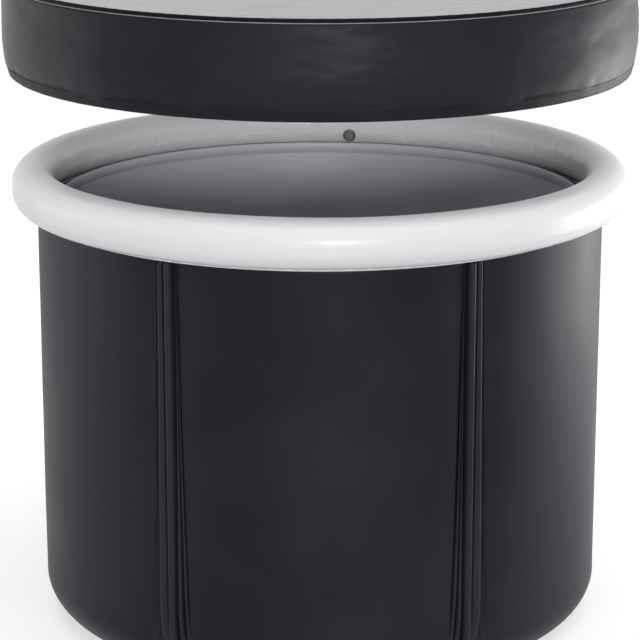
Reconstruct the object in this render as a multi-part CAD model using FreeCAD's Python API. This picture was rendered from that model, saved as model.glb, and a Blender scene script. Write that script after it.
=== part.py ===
import FreeCAD, Part

import math
import os

# A portable ice bath. A round insulated tub stands on the floor under an inflated ring, six rods in sleeves
# keep its wall upright, a ball tap behind drains it, and a skirted insulated lid hangs raised above the ring.
# Millimetres. The origin is the middle of the underside, +Z is up and the front of the tub faces -Y.

# Tub wall, from the outside in
WALL_RADIUS = 400.0
OUTER_SKIN = 2.5
FOAM_BEHIND_ROD = 11.8
FOLD_GAP = 0.4
LINER_SKIN = 2.0
LINER_SLACK = 0.5
BASE_FOAM = 20.0
BASE_BEND = 60.0
LINER_BEND = 20.0

# Inflated ring, an upright oval in section, and the strip that welds it to the wall's top
RING_CENTRE_HEIGHT = 624.0
RING_OVERHANG = 33.0
RING_TUBE_RADIUS = 29.0
RING_STRAIGHT = 10.0
RING_SKIN = 1.5
WELD_FIRST_ANGLE = 222.0
WELD_LAST_ANGLE = 262.0
RIM_DROP = 22.0
FOAM_BELOW_RIM = 4.0

# Support rods in their sleeves, each in a groove of the wall with rounded lips
ROD_COUNT = 6
ROD_RADIUS = 5.5
ROD_WALL = 1.5
ROD_SLACK = 0.3
SLEEVE_SKIN = 1.2
SLEEVE_PROUD = 1.0
SLEEVE_SLACK = 0.2
SLEEVE_BELOW_RING = 4.0
LIP_BEND = 4.0
ROD_END_LENGTH = 6.0
ROD_END_ROUND = 3.0
ROD_PLUG_LENGTH = 12.0
ROD_BELOW_SLEEVE = 2.0

# Inflation valve on the inner side of the ring
VALVE_AZIMUTH = 83.0
VALVE_ABOVE_RIM = 3.5
VALVE_PATCH_RIM = 5.0
VALVE_PATCH = 1.2
VALVE_BORE_RADIUS = 3.0
VALVE_NECK_WALL = 2.0
VALVE_NECK_OUT = 3.5
VALVE_NECK_IN = 12.0
VALVE_FLAP = 0.6
VALVE_CAP_RIM = 1.5
VALVE_CAP = 3.2
VALVE_CAP_ROUND = 1.0
VALVE_PLUG_LENGTH = 8.0

# Drain fitting clamped through the wall
DRAIN_AZIMUTH = 90.0
DRAIN_ABOVE_BEND = 4.0
GASKET = 2.0
FLANGE_RIM = 16.0
FLANGE = 6.0
DRAIN_BORE_RADIUS = 11.0
DRAIN_WALL = 5.0
STUB_STEP = 1.0
STUB_LENGTH = 10.0
NUT_RIM = 11.0
NUT_SIDES = 6
NUT = 11.0
TUBE_PAST_NUT = 3.0

# Ball tap screwed on the drain fitting
TAP_WALL = 3.0
TAP_WEB = 3.0
BALL_RADIUS = 14.0
BALL_ROOM = 3.5
BALL_BORE_RADIUS = 8.0
BALL_TO_SEAT = 6.0
SEAT = 5.0
SEAT_BORE_STEP = 1.0
OUTLET_PLUG = 9.0
OUTLET_FLANGE = 5.0
SPIGOT_RADIUS = 10.0
SPIGOT_WALL = 3.0
SPIGOT_LENGTH = 26.0
BOSS_WALL = 3.3
BOSS_ABOVE_CAVITY = 9.5
STEM_RADIUS = 4.0
STEM_COLLAR_RIM = 2.0
STEM_COLLAR = 1.8
TANG_LENGTH = 10.0
TANG_WIDTH = 4.0
TANG_DEPTH = 4.0
SEAL_RADIUS = 1.2
HUB_RIM = 7.0
HUB = 7.0
LEVER_LENGTH = 58.0
LEVER_END_RADIUS = 8.0
LEVER = 6.0
LEVER_ROUND = 1.2
SCREW_HEAD_RIM = 2.5
SCREW_HEAD = 2.5
SCREW_RADIUS = 2.0
SCREW_LENGTH = 10.0

# Lid: a foam core between a crowned top and a flat underside, with a skirt that reaches below the ring
LID_RAISE = 215.5
LID_SEAT_GAP = 0.5
LID_SLACK = 1.0
LID_FOAM = 41.5
LID_SKIN = 1.5
LID_CROWN = 8.0
SKIRT_DROP = 86.0
SKIRT_SKIN = 2.0
SKIRT_BULGE = 4.0
SKIRT_TOP_STEP = 2.0
BULGE_HEIGHT_SHARE = 0.6
BINDING = 1.0
BINDING_HEIGHT = 18.0
ELASTIC_SLACK = 0.3
PIPING_RADIUS = 3.0
PIPING_FIRST_ANGLE = -60.0
PIPING_LAST_ANGLE = 120.0
FLAT_ANGLE = 30.0

# Clearances
RUN = 0.15
FIT = 0.1
OVERRUN = 5.0
JOIN_GAP = 1e-6

# Places that follow from the sizes above
ORIGIN = FreeCAD.Vector(0, 0, 0)
UP = FreeCAD.Vector(0, 0, 1)
OUTWARD = FreeCAD.Vector(1, 0, 0)
SIDEWAYS = FreeCAD.Vector(0, 1, 0)
FULL_TURN = 360.0
QUARTER_TURN = 90.0
HALF_TURN = 180.0

SLEEVE_BORE = ROD_RADIUS + ROD_SLACK
SLEEVE_RADIUS = SLEEVE_BORE + SLEEVE_SKIN
ROD_CIRCLE = WALL_RADIUS + SLEEVE_PROUD - SLEEVE_RADIUS
GROOVE_RADIUS = SLEEVE_RADIUS + SLEEVE_SLACK
LIP_CIRCLE = WALL_RADIUS - LIP_BEND

LINER_OUTSIDE = ROD_CIRCLE - GROOVE_RADIUS - OUTER_SKIN - FOAM_BEHIND_ROD
LINER_INSIDE = LINER_OUTSIDE - LINER_SKIN
FOAM_INSIDE = LINER_OUTSIDE + LINER_SLACK
BEND_RADIUS = WALL_RADIUS - BASE_BEND
GROOVE_FLOOR = BASE_BEND + OUTER_SKIN
FOAM_FLOOR = OUTER_SKIN + BASE_FOAM

RING_RADIUS = WALL_RADIUS + RING_OVERHANG - RING_TUBE_RADIUS
RING_OUTSIDE = RING_RADIUS + RING_TUBE_RADIUS
RING_LOW = RING_CENTRE_HEIGHT - RING_STRAIGHT / 2
RING_HIGH = RING_CENTRE_HEIGHT + RING_STRAIGHT / 2
RING_TOP = RING_HIGH + RING_TUBE_RADIUS
RING_BOTTOM = RING_LOW - RING_TUBE_RADIUS
RIM_HEIGHT = RING_CENTRE_HEIGHT - RIM_DROP
FOAM_TOP = RIM_HEIGHT - FOAM_BELOW_RIM

SLEEVE_TOP = RING_BOTTOM - SLEEVE_BELOW_RING
ROD_FOOT = GROOVE_FLOOR + SLEEVE_SKIN
ROD_HEAD = SLEEVE_TOP - ROD_BELOW_SLEEVE

VALVE_NECK_RADIUS = VALVE_BORE_RADIUS + VALVE_NECK_WALL
VALVE_PATCH_RADIUS = VALVE_NECK_RADIUS + VALVE_PATCH_RIM
VALVE_CAP_RADIUS = VALVE_NECK_RADIUS + VALVE_CAP_RIM
VALVE_HEIGHT = RIM_HEIGHT + VALVE_ABOVE_RIM + VALVE_CAP_RADIUS
VALVE_BELOW_STRAIGHT = max(0, RING_LOW - VALVE_HEIGHT)
VALVE_FACE = RING_RADIUS - math.sqrt(RING_TUBE_RADIUS**2 - VALVE_BELOW_STRAIGHT**2)
VALVE_MOUTH = VALVE_FACE - VALVE_NECK_OUT

TUBE_RADIUS = DRAIN_BORE_RADIUS + DRAIN_WALL
STUB_RADIUS = TUBE_RADIUS - STUB_STEP
NUT_RADIUS = TUBE_RADIUS + NUT_RIM
FLANGE_RADIUS = TUBE_RADIUS + FLANGE_RIM
DRAIN_HEIGHT = BASE_BEND + DRAIN_ABOVE_BEND + FLANGE_RADIUS
FLANGE_FACE = WALL_RADIUS + GASKET + FLANGE
NUT_FACE = LINER_INSIDE - GASKET
NUT_END = NUT_FACE - NUT
TUBE_END = NUT_END - TUBE_PAST_NUT
CAVITY_RADIUS = BALL_RADIUS + BALL_ROOM
TAP_RADIUS = CAVITY_RADIUS + TAP_WALL
CAVITY_START = FLANGE_FACE + STUB_LENGTH + TAP_WEB
BALL_PLACE = CAVITY_START + SEAT + BALL_TO_SEAT
OUTLET_START = BALL_PLACE + BALL_TO_SEAT + SEAT
TAP_END = OUTLET_START + OUTLET_PLUG
SPIGOT_START = TAP_END + OUTLET_FLANGE
SPIGOT_END = SPIGOT_START + SPIGOT_LENGTH
COLLAR_RADIUS = STEM_RADIUS + STEM_COLLAR_RIM
COLLAR_LOW = BALL_RADIUS + RUN
COLLAR_TOP = COLLAR_LOW + STEM_COLLAR
SEAL_RING_RADIUS = STEM_RADIUS + RUN + SEAL_RADIUS
SEAL_ROOM_RADIUS = SEAL_RING_RADIUS + SEAL_RADIUS + FIT
BOSS_RADIUS = SEAL_ROOM_RADIUS + BOSS_WALL
BOSS_TOP = CAVITY_RADIUS + BOSS_ABOVE_CAVITY
SEAL_FLOOR = BOSS_TOP - FIT - SEAL_RADIUS - SEAL_RADIUS
HUB_RADIUS = STEM_RADIUS + HUB_RIM
HUB_LOW = BOSS_TOP + RUN
HUB_TOP = HUB_LOW + HUB

LID_INSIDE = RING_OUTSIDE + LID_SLACK
SKIRT_INSIDE = LID_INSIDE + BINDING
LID_UNDERSIDE = RING_TOP + LID_SEAT_GAP + LID_RAISE
LID_EDGE = LID_UNDERSIDE + LID_SKIN + LID_FOAM
LID_TOP_RADIUS = SKIRT_INSIDE + SKIRT_TOP_STEP
HEM_BOTTOM = LID_UNDERSIDE - SKIRT_DROP
HEM_FOLD = HEM_BOTTOM + BINDING + SKIRT_SKIN / 2
HEM_TOP = HEM_BOTTOM + BINDING_HEIGHT
SKIRT_FOOT = HEM_FOLD + SKIRT_SKIN / 2


def at(radius, height):
    """A point of the upright section plane."""
    return FreeCAD.Vector(radius, 0, height)


def heading(angle):
    """The direction of the ground plane at an angle."""
    turn = math.radians(angle)
    return FreeCAD.Vector(math.cos(turn), math.sin(turn), 0)


def polar(radius, angle):
    """A point of the ground plane."""
    return heading(angle) * radius


def bend(centre, radius, first, last):
    """An arc of the section plane round a centre, between two angles counted from outward towards up."""
    turns = [math.radians(angle) for angle in (first, (first + last) / 2, last)]
    points = [centre + at(radius * math.cos(turn), radius * math.sin(turn)) for turn in turns]
    return Part.Arc(*points).toShape()


def flats(centre, radius, first, last):
    """Points of the section plane round a centre, from one angle to another, joined later by short flats."""
    count = round(abs(last - first) / FLAT_ANGLE)
    turns = [math.radians(first + (last - first) * step / count) for step in range(count + 1)]
    return [centre + at(radius * math.cos(turn), radius * math.sin(turn)) for turn in turns]


def through(first, middle, last):
    """The arc through three points."""
    return Part.Arc(first, middle, last).toShape()


def outline(*pieces):
    """A closed wire along arcs and points in order, joined up by straight lines."""
    starts = []
    ends = []
    for piece in pieces:
        is_point = isinstance(piece, FreeCAD.Vector)
        starts.append(piece if is_point else piece.valueAt(piece.FirstParameter))
        ends.append(piece if is_point else piece.valueAt(piece.LastParameter))
    edges = []
    for number, piece in enumerate(pieces):
        following = starts[(number + 1) % len(starts)]
        if isinstance(piece, Part.Edge):
            edges.append(piece)
        if ends[number].distanceToPoint(following) > JOIN_GAP:
            edges.append(Part.makeLine(ends[number], following))
    return Part.Wire(edges)


def turned(*pieces):
    """The solid that a section makes when it is turned once round the tub's axis."""
    return Part.Face(outline(*pieces)).revolve(ORIGIN, UP, FULL_TURN)


def prism(wire, low, high):
    """A flat outline of the ground plane, raised from one height to another."""
    face = Part.Face(wire)
    face.translate(UP * low)
    return face.extrude(UP * (high - low))


def upright(radius, low, high, place=ORIGIN):
    """A cylinder standing at a place."""
    return Part.makeCylinder(radius, high - low, place + UP * low)


def lying(radius, start, end, height):
    """A cylinder along the outward direction at a height."""
    return Part.makeCylinder(radius, end - start, at(start, height), OUTWARD)


def swung(shape, azimuth):
    """A shape made on the outward direction, swung round the tub to its azimuth."""
    moved = shape.copy()
    moved.rotate(ORIGIN, UP, azimuth)
    return moved


def ring_envelope(grow):
    """The solid inside the inflated ring's skin, grown outwards by a length."""
    radius = RING_TUBE_RADIUS + grow
    return turned(
        bend(at(RING_RADIUS, RING_LOW), radius, HALF_TURN, FULL_TURN),
        bend(at(RING_RADIUS, RING_HIGH), radius, 0, HALF_TURN),
    )


def drain_hole():
    """The hole through every layer of the wall for the drain tube."""
    return swung(lying(TUBE_RADIUS + FIT, TUBE_END, FLANGE_FACE, DRAIN_HEIGHT), DRAIN_AZIMUTH)


def wall_outline(inset):
    """The wall's outline seen from above, set in from its outer face, dipping round every sleeve."""
    reach = GROOVE_RADIUS + LIP_BEND
    cosine = (LIP_CIRCLE**2 + ROD_CIRCLE**2 - reach**2) / (2 * LIP_CIRCLE * ROD_CIRCLE)
    lip_angle = math.degrees(math.acos(cosine))
    spacing = FULL_TURN / ROD_COUNT
    edges = []
    for number in range(ROD_COUNT):
        azimuth = number * spacing
        sleeve = polar(ROD_CIRCLE, azimuth)
        bottom = sleeve - polar(GROOVE_RADIUS + inset, azimuth)
        lips = []
        for side in (azimuth - lip_angle, azimuth + lip_angle):
            centre = polar(LIP_CIRCLE, side)
            inwards = (sleeve - centre).normalize()
            crest = (heading(side) + inwards).normalize()
            size = LIP_BEND - inset
            lips.append((centre + polar(size, side), centre + crest * size, centre + inwards * size))
        (start, start_crest, groove_start), (end, end_crest, groove_end) = lips
        following = azimuth + spacing
        edges.append(through(start, start_crest, groove_start))
        edges.append(through(groove_start, bottom, groove_end))
        edges.append(through(groove_end, end_crest, end))
        edges.append(
            through(
                end,
                polar(WALL_RADIUS - inset, azimuth + spacing / 2),
                polar(WALL_RADIUS - inset, following - lip_angle),
            )
        )
    return outline(*edges)


def outer_wall():
    """The black outer skin: a grooved wall, the groove floors and the rounded bottom edge."""
    inside = prism(wall_outline(OUTER_SKIN), BASE_BEND, RING_CENTRE_HEIGHT)
    wall = prism(wall_outline(0), GROOVE_FLOOR, RING_CENTRE_HEIGHT)
    floors = upright(WALL_RADIUS, BASE_BEND, GROOVE_FLOOR)
    centre = at(BEND_RADIUS, BASE_BEND)
    edge = turned(
        bend(centre, BASE_BEND, -QUARTER_TURN, 0),
        bend(centre, BASE_BEND - OUTER_SKIN, 0, -QUARTER_TURN),
    )
    skin = wall.fuse(floors).cut(inside).fuse(edge)
    return skin.cut(ring_envelope(0)).cut(drain_hole()).removeSplitter()


def base_panel():
    """The flat underside that the tub stands on."""
    return upright(BEND_RADIUS, 0, OUTER_SKIN)


def bend_angle():
    """The angle of the rounded edge at which its inside reaches the top of the base foam."""
    return -math.degrees(math.asin((BASE_BEND - FOAM_FLOOR) / (BASE_BEND - OUTER_SKIN)))


def base_insulation():
    """The foam disc under the liner's floor."""
    edge = bend(at(BEND_RADIUS, BASE_BEND), BASE_BEND - OUTER_SKIN, -QUARTER_TURN, bend_angle())
    return turned(at(0, OUTER_SKIN), edge, at(0, FOAM_FLOOR))


def fold_gap(azimuth):
    """The narrow upright space between two foam boards, along which the wall folds at a rod."""
    start = FreeCAD.Vector(0, -FOLD_GAP / 2, 0)
    return swung(Part.makeBox(WALL_RADIUS, FOLD_GAP, RING_CENTRE_HEIGHT, start), azimuth)


def wall_insulation():
    """The foam boards between the outer skin and the liner, hollowed for the rods and the ring."""
    edge = bend(at(BEND_RADIUS, BASE_BEND), BASE_BEND - OUTER_SKIN, bend_angle(), 0)
    foot = turned(at(FOAM_INSIDE, FOAM_FLOOR), edge, at(FOAM_INSIDE, BASE_BEND))
    outside = prism(wall_outline(OUTER_SKIN), BASE_BEND, FOAM_TOP)
    sleeve = outside.cut(upright(FOAM_INSIDE, BASE_BEND, FOAM_TOP))
    foam = sleeve.fuse(foot).cut(ring_envelope(0)).cut(drain_hole()).removeSplitter()
    for number in range(ROD_COUNT):
        foam = foam.cut(fold_gap(number * FULL_TURN / ROD_COUNT))
    return foam


def inner_liner():
    """The pale liner, a bag with a rounded floor edge, whose rim stands just inside the ring."""
    centre = at(LINER_OUTSIDE - LINER_BEND, FOAM_FLOOR + LINER_BEND)
    bag = turned(
        at(0, FOAM_FLOOR),
        bend(centre, LINER_BEND, -QUARTER_TURN, 0),
        at(LINER_OUTSIDE, RIM_HEIGHT),
        at(LINER_INSIDE, RIM_HEIGHT),
        bend(centre, LINER_BEND - LINER_SKIN, 0, -QUARTER_TURN),
        at(0, FOAM_FLOOR + LINER_SKIN),
    )
    return bag.cut(ring_envelope(0)).cut(drain_hole())


def air_ring():
    """The ring's inflated skin, open below along the weld strip, with a hole for the valve."""
    low = at(RING_RADIUS, RING_LOW)
    high = at(RING_RADIUS, RING_HIGH)
    inner_radius = RING_TUBE_RADIUS - RING_SKIN
    skin = turned(
        bend(low, RING_TUBE_RADIUS, WELD_LAST_ANGLE, FULL_TURN),
        bend(high, RING_TUBE_RADIUS, 0, HALF_TURN),
        bend(low, RING_TUBE_RADIUS, HALF_TURN, WELD_FIRST_ANGLE),
        bend(low, inner_radius, WELD_FIRST_ANGLE, HALF_TURN),
        bend(high, inner_radius, HALF_TURN, 0),
        bend(low, inner_radius, FULL_TURN, WELD_LAST_ANGLE),
    )
    hole = lying(VALVE_NECK_RADIUS + FIT, VALVE_MOUTH, VALVE_FACE + VALVE_NECK_IN, VALVE_HEIGHT)
    return skin.cut(swung(hole, VALVE_AZIMUTH))


def ring_weld_strip():
    """The strip that closes the ring below and rests on the wall's top."""
    low = at(RING_RADIUS, RING_LOW)
    return turned(
        bend(low, RING_TUBE_RADIUS, WELD_FIRST_ANGLE, WELD_LAST_ANGLE),
        bend(low, RING_TUBE_RADIUS - RING_SKIN, WELD_LAST_ANGLE, WELD_FIRST_ANGLE),
    )


def rod_sleeve(place):
    """A tube of skin with a closed foot that holds one rod."""
    tube = upright(SLEEVE_RADIUS, GROOVE_FLOOR, SLEEVE_TOP, place)
    return tube.cut(upright(SLEEVE_BORE, ROD_FOOT, SLEEVE_TOP, place))


def support_rod(place):
    """A plain tube between its two end plugs."""
    low = ROD_FOOT + ROD_END_LENGTH
    high = ROD_HEAD - ROD_END_LENGTH
    return upright(ROD_RADIUS, low, high, place).cut(upright(ROD_RADIUS - ROD_WALL, low, high, place))


def rod_end(place, tip, inwards):
    """A plug for one end of a rod, with a rounded head, pointing up or down from its tip."""
    plug_radius = ROD_RADIUS - ROD_WALL - FIT
    head = Part.makeCylinder(ROD_RADIUS, ROD_END_LENGTH, place + UP * tip, inwards)
    rim = [edge for edge in head.Edges if abs(edge.CenterOfMass.z - tip) < JOIN_GAP]
    shoulder = place + UP * tip + inwards * ROD_END_LENGTH
    plug = Part.makeCylinder(plug_radius, ROD_PLUG_LENGTH, shoulder, inwards)
    return head.makeFillet(ROD_END_ROUND, rim).fuse(plug)


def valve_neck():
    """The valve's patch, which lies on the ring's skin, and its neck through the skin."""
    place = lying(VALVE_PATCH_RADIUS, VALVE_MOUTH, RING_RADIUS, VALVE_HEIGHT)
    patch = ring_envelope(VALVE_PATCH).cut(ring_envelope(0)).common(place)
    neck = lying(VALVE_NECK_RADIUS, VALVE_MOUTH, VALVE_FACE + VALVE_NECK_IN, VALVE_HEIGHT)
    bore = lying(VALVE_BORE_RADIUS, VALVE_MOUTH, VALVE_FACE + VALVE_NECK_IN, VALVE_HEIGHT)
    return patch.fuse(neck).cut(bore)


def valve_flap():
    """The film that covers the neck's inner end."""
    start = VALVE_FACE + VALVE_NECK_IN
    return lying(VALVE_NECK_RADIUS, start, start + VALVE_FLAP, VALVE_HEIGHT)


def valve_cap():
    """The stopper: a round head with a plug that fills the neck."""
    low = VALVE_MOUTH - RUN - VALVE_CAP
    head = lying(VALVE_CAP_RADIUS, low, low + VALVE_CAP, VALVE_HEIGHT)
    rims = [edge for edge in head.Edges if edge.Closed]
    plug = lying(VALVE_BORE_RADIUS - RUN, low + VALVE_CAP, VALVE_MOUTH + VALVE_PLUG_LENGTH, VALVE_HEIGHT)
    return head.makeFillet(VALVE_CAP_ROUND, rims).fuse(plug)


def wall_cylinder(radius):
    """The tub's full round at a radius, as tall as the drain flange."""
    return upright(radius, DRAIN_HEIGHT - FLANGE_RADIUS - OVERRUN, DRAIN_HEIGHT + FLANGE_RADIUS + OVERRUN)


def drain_bulkhead():
    """The drain tube with a flange curved to the wall outside it and a stub for the tap."""
    flange = lying(FLANGE_RADIUS, LINER_INSIDE, FLANGE_FACE, DRAIN_HEIGHT)
    flange = flange.cut(wall_cylinder(WALL_RADIUS + GASKET))
    tube = lying(TUBE_RADIUS, TUBE_END, FLANGE_FACE, DRAIN_HEIGHT)
    stub = lying(STUB_RADIUS, FLANGE_FACE, FLANGE_FACE + STUB_LENGTH, DRAIN_HEIGHT)
    bore = lying(DRAIN_BORE_RADIUS, TUBE_END, FLANGE_FACE + STUB_LENGTH, DRAIN_HEIGHT)
    return flange.fuse(tube).fuse(stub).cut(bore).removeSplitter()


def curved_washer(radius, inner_face):
    """A gasket round the drain tube, curved to lie on a wall face."""
    shell = wall_cylinder(inner_face + GASKET).cut(wall_cylinder(inner_face))
    blank = lying(radius, TUBE_END, FLANGE_FACE, DRAIN_HEIGHT)
    return shell.common(blank).cut(lying(TUBE_RADIUS + FIT, TUBE_END, FLANGE_FACE, DRAIN_HEIGHT))


def drain_lock_nut():
    """The six-sided nut inside the tub that clamps the wall's layers."""
    corners = [polar(NUT_RADIUS, number * FULL_TURN / NUT_SIDES) for number in range(NUT_SIDES)]
    blank = prism(outline(*corners), NUT_END, LINER_INSIDE)
    blank.rotate(ORIGIN, SIDEWAYS, QUARTER_TURN)
    blank.translate(UP * DRAIN_HEIGHT)
    nut = blank.common(wall_cylinder(NUT_FACE))
    return nut.cut(lying(TUBE_RADIUS + FIT, TUBE_END, FLANGE_FACE, DRAIN_HEIGHT))


def tap_axis():
    """The foot of the tap's stem axis, at the middle of the ball."""
    return at(BALL_PLACE, DRAIN_HEIGHT)


def ball_room():
    """The space that the ball turns in."""
    return Part.makeSphere(BALL_RADIUS + RUN, tap_axis())


def tap_body():
    """The tap's barrel with the ball's cavity and the boss for its stem."""
    barrel = lying(TAP_RADIUS, FLANGE_FACE, TAP_END, DRAIN_HEIGHT)
    boss = upright(BOSS_RADIUS, 0, BOSS_TOP, tap_axis())
    socket = lying(STUB_RADIUS + FIT, FLANGE_FACE, FLANGE_FACE + STUB_LENGTH, DRAIN_HEIGHT)
    bore = lying(DRAIN_BORE_RADIUS, FLANGE_FACE, CAVITY_START, DRAIN_HEIGHT)
    cavity = lying(CAVITY_RADIUS, CAVITY_START, TAP_END, DRAIN_HEIGHT)
    stem_hole = upright(STEM_RADIUS + RUN, 0, BOSS_TOP, tap_axis())
    collar_room = upright(COLLAR_RADIUS + RUN, 0, COLLAR_TOP + RUN, tap_axis())
    seal_room = upright(SEAL_ROOM_RADIUS, SEAL_FLOOR, BOSS_TOP, tap_axis())
    body = barrel.fuse(boss)
    for hollow in (socket, bore, cavity, stem_hole, collar_room, seal_room):
        body = body.cut(hollow)
    return body.removeSplitter()


def tap_outlet():
    """The end piece that holds the ball in, with a plain spigot for a hose."""
    plug = lying(CAVITY_RADIUS - FIT, OUTLET_START, TAP_END, DRAIN_HEIGHT)
    flange = lying(TAP_RADIUS, TAP_END, SPIGOT_START, DRAIN_HEIGHT)
    spigot = lying(SPIGOT_RADIUS, SPIGOT_START, SPIGOT_END, DRAIN_HEIGHT)
    bore = lying(SPIGOT_RADIUS - SPIGOT_WALL, OUTLET_START, SPIGOT_END, DRAIN_HEIGHT)
    return plug.fuse(flange).fuse(spigot).cut(bore).removeSplitter().cut(ball_room())


def tap_seat(start):
    """A sealing ring, dished to the ball."""
    ring = lying(CAVITY_RADIUS - FIT, start, start + SEAT, DRAIN_HEIGHT)
    ring = ring.cut(lying(BALL_BORE_RADIUS + SEAT_BORE_STEP, start, start + SEAT, DRAIN_HEIGHT))
    return ring.cut(ball_room())


def block(length, width, low, high):
    """A block centred on the tap's stem axis."""
    corner = tap_axis() + FreeCAD.Vector(-length / 2, -width / 2, low)
    return Part.makeBox(length, width, high - low, corner)


def tap_ball():
    """The ball, shut: its bore lies across the flow, with a slot on top for the stem."""
    ball = Part.makeSphere(BALL_RADIUS, tap_axis())
    bore_start = tap_axis() - SIDEWAYS * BALL_RADIUS
    bore = Part.makeCylinder(BALL_BORE_RADIUS, 2 * BALL_RADIUS, bore_start, SIDEWAYS)
    slot = block(2 * BALL_RADIUS, TANG_WIDTH + 2 * RUN, BALL_RADIUS - TANG_DEPTH, BALL_RADIUS)
    return ball.cut(bore).cut(slot)


def tap_stem():
    """The stem: a tang in the ball's slot, a collar under the boss and a shaft up to the handle."""
    tang = block(TANG_LENGTH, TANG_WIDTH, BALL_RADIUS - TANG_DEPTH + RUN, COLLAR_LOW)
    collar = upright(COLLAR_RADIUS, COLLAR_LOW, COLLAR_TOP, tap_axis())
    shaft = upright(STEM_RADIUS, COLLAR_LOW, HUB_TOP, tap_axis())
    thread = upright(SCREW_RADIUS, HUB_TOP - SCREW_LENGTH, HUB_TOP, tap_axis())
    return tang.fuse(collar).fuse(shaft).cut(thread).removeSplitter()


def tap_stem_seal():
    """The rubber ring round the stem at the top of the boss."""
    return Part.makeTorus(SEAL_RING_RADIUS, SEAL_RADIUS, tap_axis() + UP * (SEAL_FLOOR + SEAL_RADIUS))


def tap_handle():
    """The lever, which lies across the pipe while the tap is shut."""
    hub = upright(HUB_RADIUS, HUB_LOW, HUB_TOP, tap_axis())
    tip = upright(LEVER_END_RADIUS, HUB_TOP - LEVER, HUB_TOP, tap_axis() - SIDEWAYS * LEVER_LENGTH)
    arm = Part.makeBox(
        2 * LEVER_END_RADIUS,
        LEVER_LENGTH,
        LEVER,
        tap_axis() + FreeCAD.Vector(-LEVER_END_RADIUS, -LEVER_LENGTH, HUB_TOP - LEVER),
    )
    lever = hub.fuse(arm).fuse(tip).removeSplitter()
    top_rim = [edge for edge in lever.Edges if edge.BoundBox.ZMin > DRAIN_HEIGHT + HUB_TOP - JOIN_GAP]
    lever = lever.makeFillet(LEVER_ROUND, top_rim)
    return lever.cut(upright(STEM_RADIUS + FIT, HUB_LOW, HUB_TOP, tap_axis()))


def tap_handle_screw():
    """The screw that holds the lever on the stem."""
    head = upright(SCREW_RADIUS + SCREW_HEAD_RIM, HUB_TOP, HUB_TOP + SCREW_HEAD, tap_axis())
    shank = upright(SCREW_RADIUS - FIT, HUB_TOP - SCREW_LENGTH + FIT, HUB_TOP, tap_axis())
    return head.fuse(shank)


def bow_points(outset):
    """Three points of the skirt's bow, from the hem's top to the lid's edge, outside its inner face."""
    bulge_height = HEM_TOP + (LID_EDGE - HEM_TOP) * BULGE_HEIGHT_SHARE
    return [
        at(SKIRT_INSIDE + outset, HEM_TOP),
        at(SKIRT_INSIDE + SKIRT_BULGE + outset, bulge_height),
        at(LID_TOP_RADIUS + outset, LID_EDGE),
    ]


def crown_points(lift):
    """Three points of the crown of the lid's top, from its edge to its middle, raised by a lift."""
    sphere = (LID_TOP_RADIUS**2 + LID_CROWN**2) / (2 * LID_CROWN)
    half_way = LID_CROWN - sphere + math.sqrt(sphere**2 - (LID_TOP_RADIUS / 2) ** 2)
    return [
        at(LID_TOP_RADIUS, LID_EDGE + lift),
        at(LID_TOP_RADIUS / 2, LID_EDGE + half_way + lift),
        at(0, LID_EDGE + LID_CROWN + lift),
    ]


def lid_inside():
    """The space inside the skirt, up to the underside of the top panel."""
    return turned(at(0, HEM_TOP), through(*bow_points(0)), through(*crown_points(0)))


def lid_skirt():
    """The black side of the lid, bowed outwards, with its foot in the binding."""
    return turned(
        at(SKIRT_INSIDE, SKIRT_FOOT),
        through(*bow_points(0)),
        through(*reversed(bow_points(SKIRT_SKIN))),
        at(SKIRT_INSIDE + SKIRT_SKIN, SKIRT_FOOT),
    )


def lid_top():
    """The crowned top panel."""
    return turned(through(*crown_points(0)), through(*reversed(crown_points(LID_SKIN))))


def lid_insulation():
    """The foam core."""
    low = LID_UNDERSIDE + LID_SKIN
    return lid_inside().common(upright(RING_OUTSIDE + RING_OVERHANG, low, LID_EDGE + LID_CROWN + LID_SKIN))


def lid_underside():
    """The panel that comes down on the ring."""
    return lid_inside().common(upright(RING_OUTSIDE + RING_OVERHANG, LID_UNDERSIDE, LID_UNDERSIDE + LID_SKIN))


def lid_piping():
    """The cord of skin along the lid's top edge, seated on the skirt's top and against the panel's rim."""
    centre = at(LID_TOP_RADIUS + SKIRT_SKIN, LID_EDGE)
    rim = at(LID_TOP_RADIUS, LID_EDGE)
    cord = flats(centre, PIPING_RADIUS, PIPING_FIRST_ANGLE, PIPING_LAST_ANGLE)
    return turned(*cord, rim + UP * LID_SKIN, rim, centre)


def hem_fold():
    """The middle of the fold in the hem's tape."""
    return at(SKIRT_INSIDE + SKIRT_SKIN / 2, HEM_FOLD)


def lid_binding():
    """The tape folded round the skirt's foot."""
    fold = hem_fold()
    outside = SKIRT_INSIDE + SKIRT_SKIN
    return turned(
        at(outside, HEM_TOP),
        *flats(fold, SKIRT_SKIN / 2, 0, -HALF_TURN),
        at(SKIRT_INSIDE, HEM_TOP),
        at(LID_INSIDE, HEM_TOP),
        *flats(fold, SKIRT_SKIN / 2 + BINDING, -HALF_TURN, 0),
        at(outside + BINDING, HEM_TOP),
    )


def lid_elastic():
    """The elastic in the fold of the binding."""
    return turned(*flats(hem_fold(), SKIRT_SKIN / 2 - ELASTIC_SLACK, 0, FULL_TURN - FLAT_ANGLE))


def tub_pieces():
    """The tub's layers, the ring and the valve."""
    return {
        "outer_wall": outer_wall(),
        "base_panel": base_panel(),
        "base_insulation": base_insulation(),
        "wall_insulation": wall_insulation(),
        "inner_liner": inner_liner(),
        "air_ring": air_ring(),
        "ring_weld_strip": ring_weld_strip(),
        "valve_neck": swung(valve_neck(), VALVE_AZIMUTH),
        "valve_flap": swung(valve_flap(), VALVE_AZIMUTH),
        "valve_cap": swung(valve_cap(), VALVE_AZIMUTH),
    }


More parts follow.
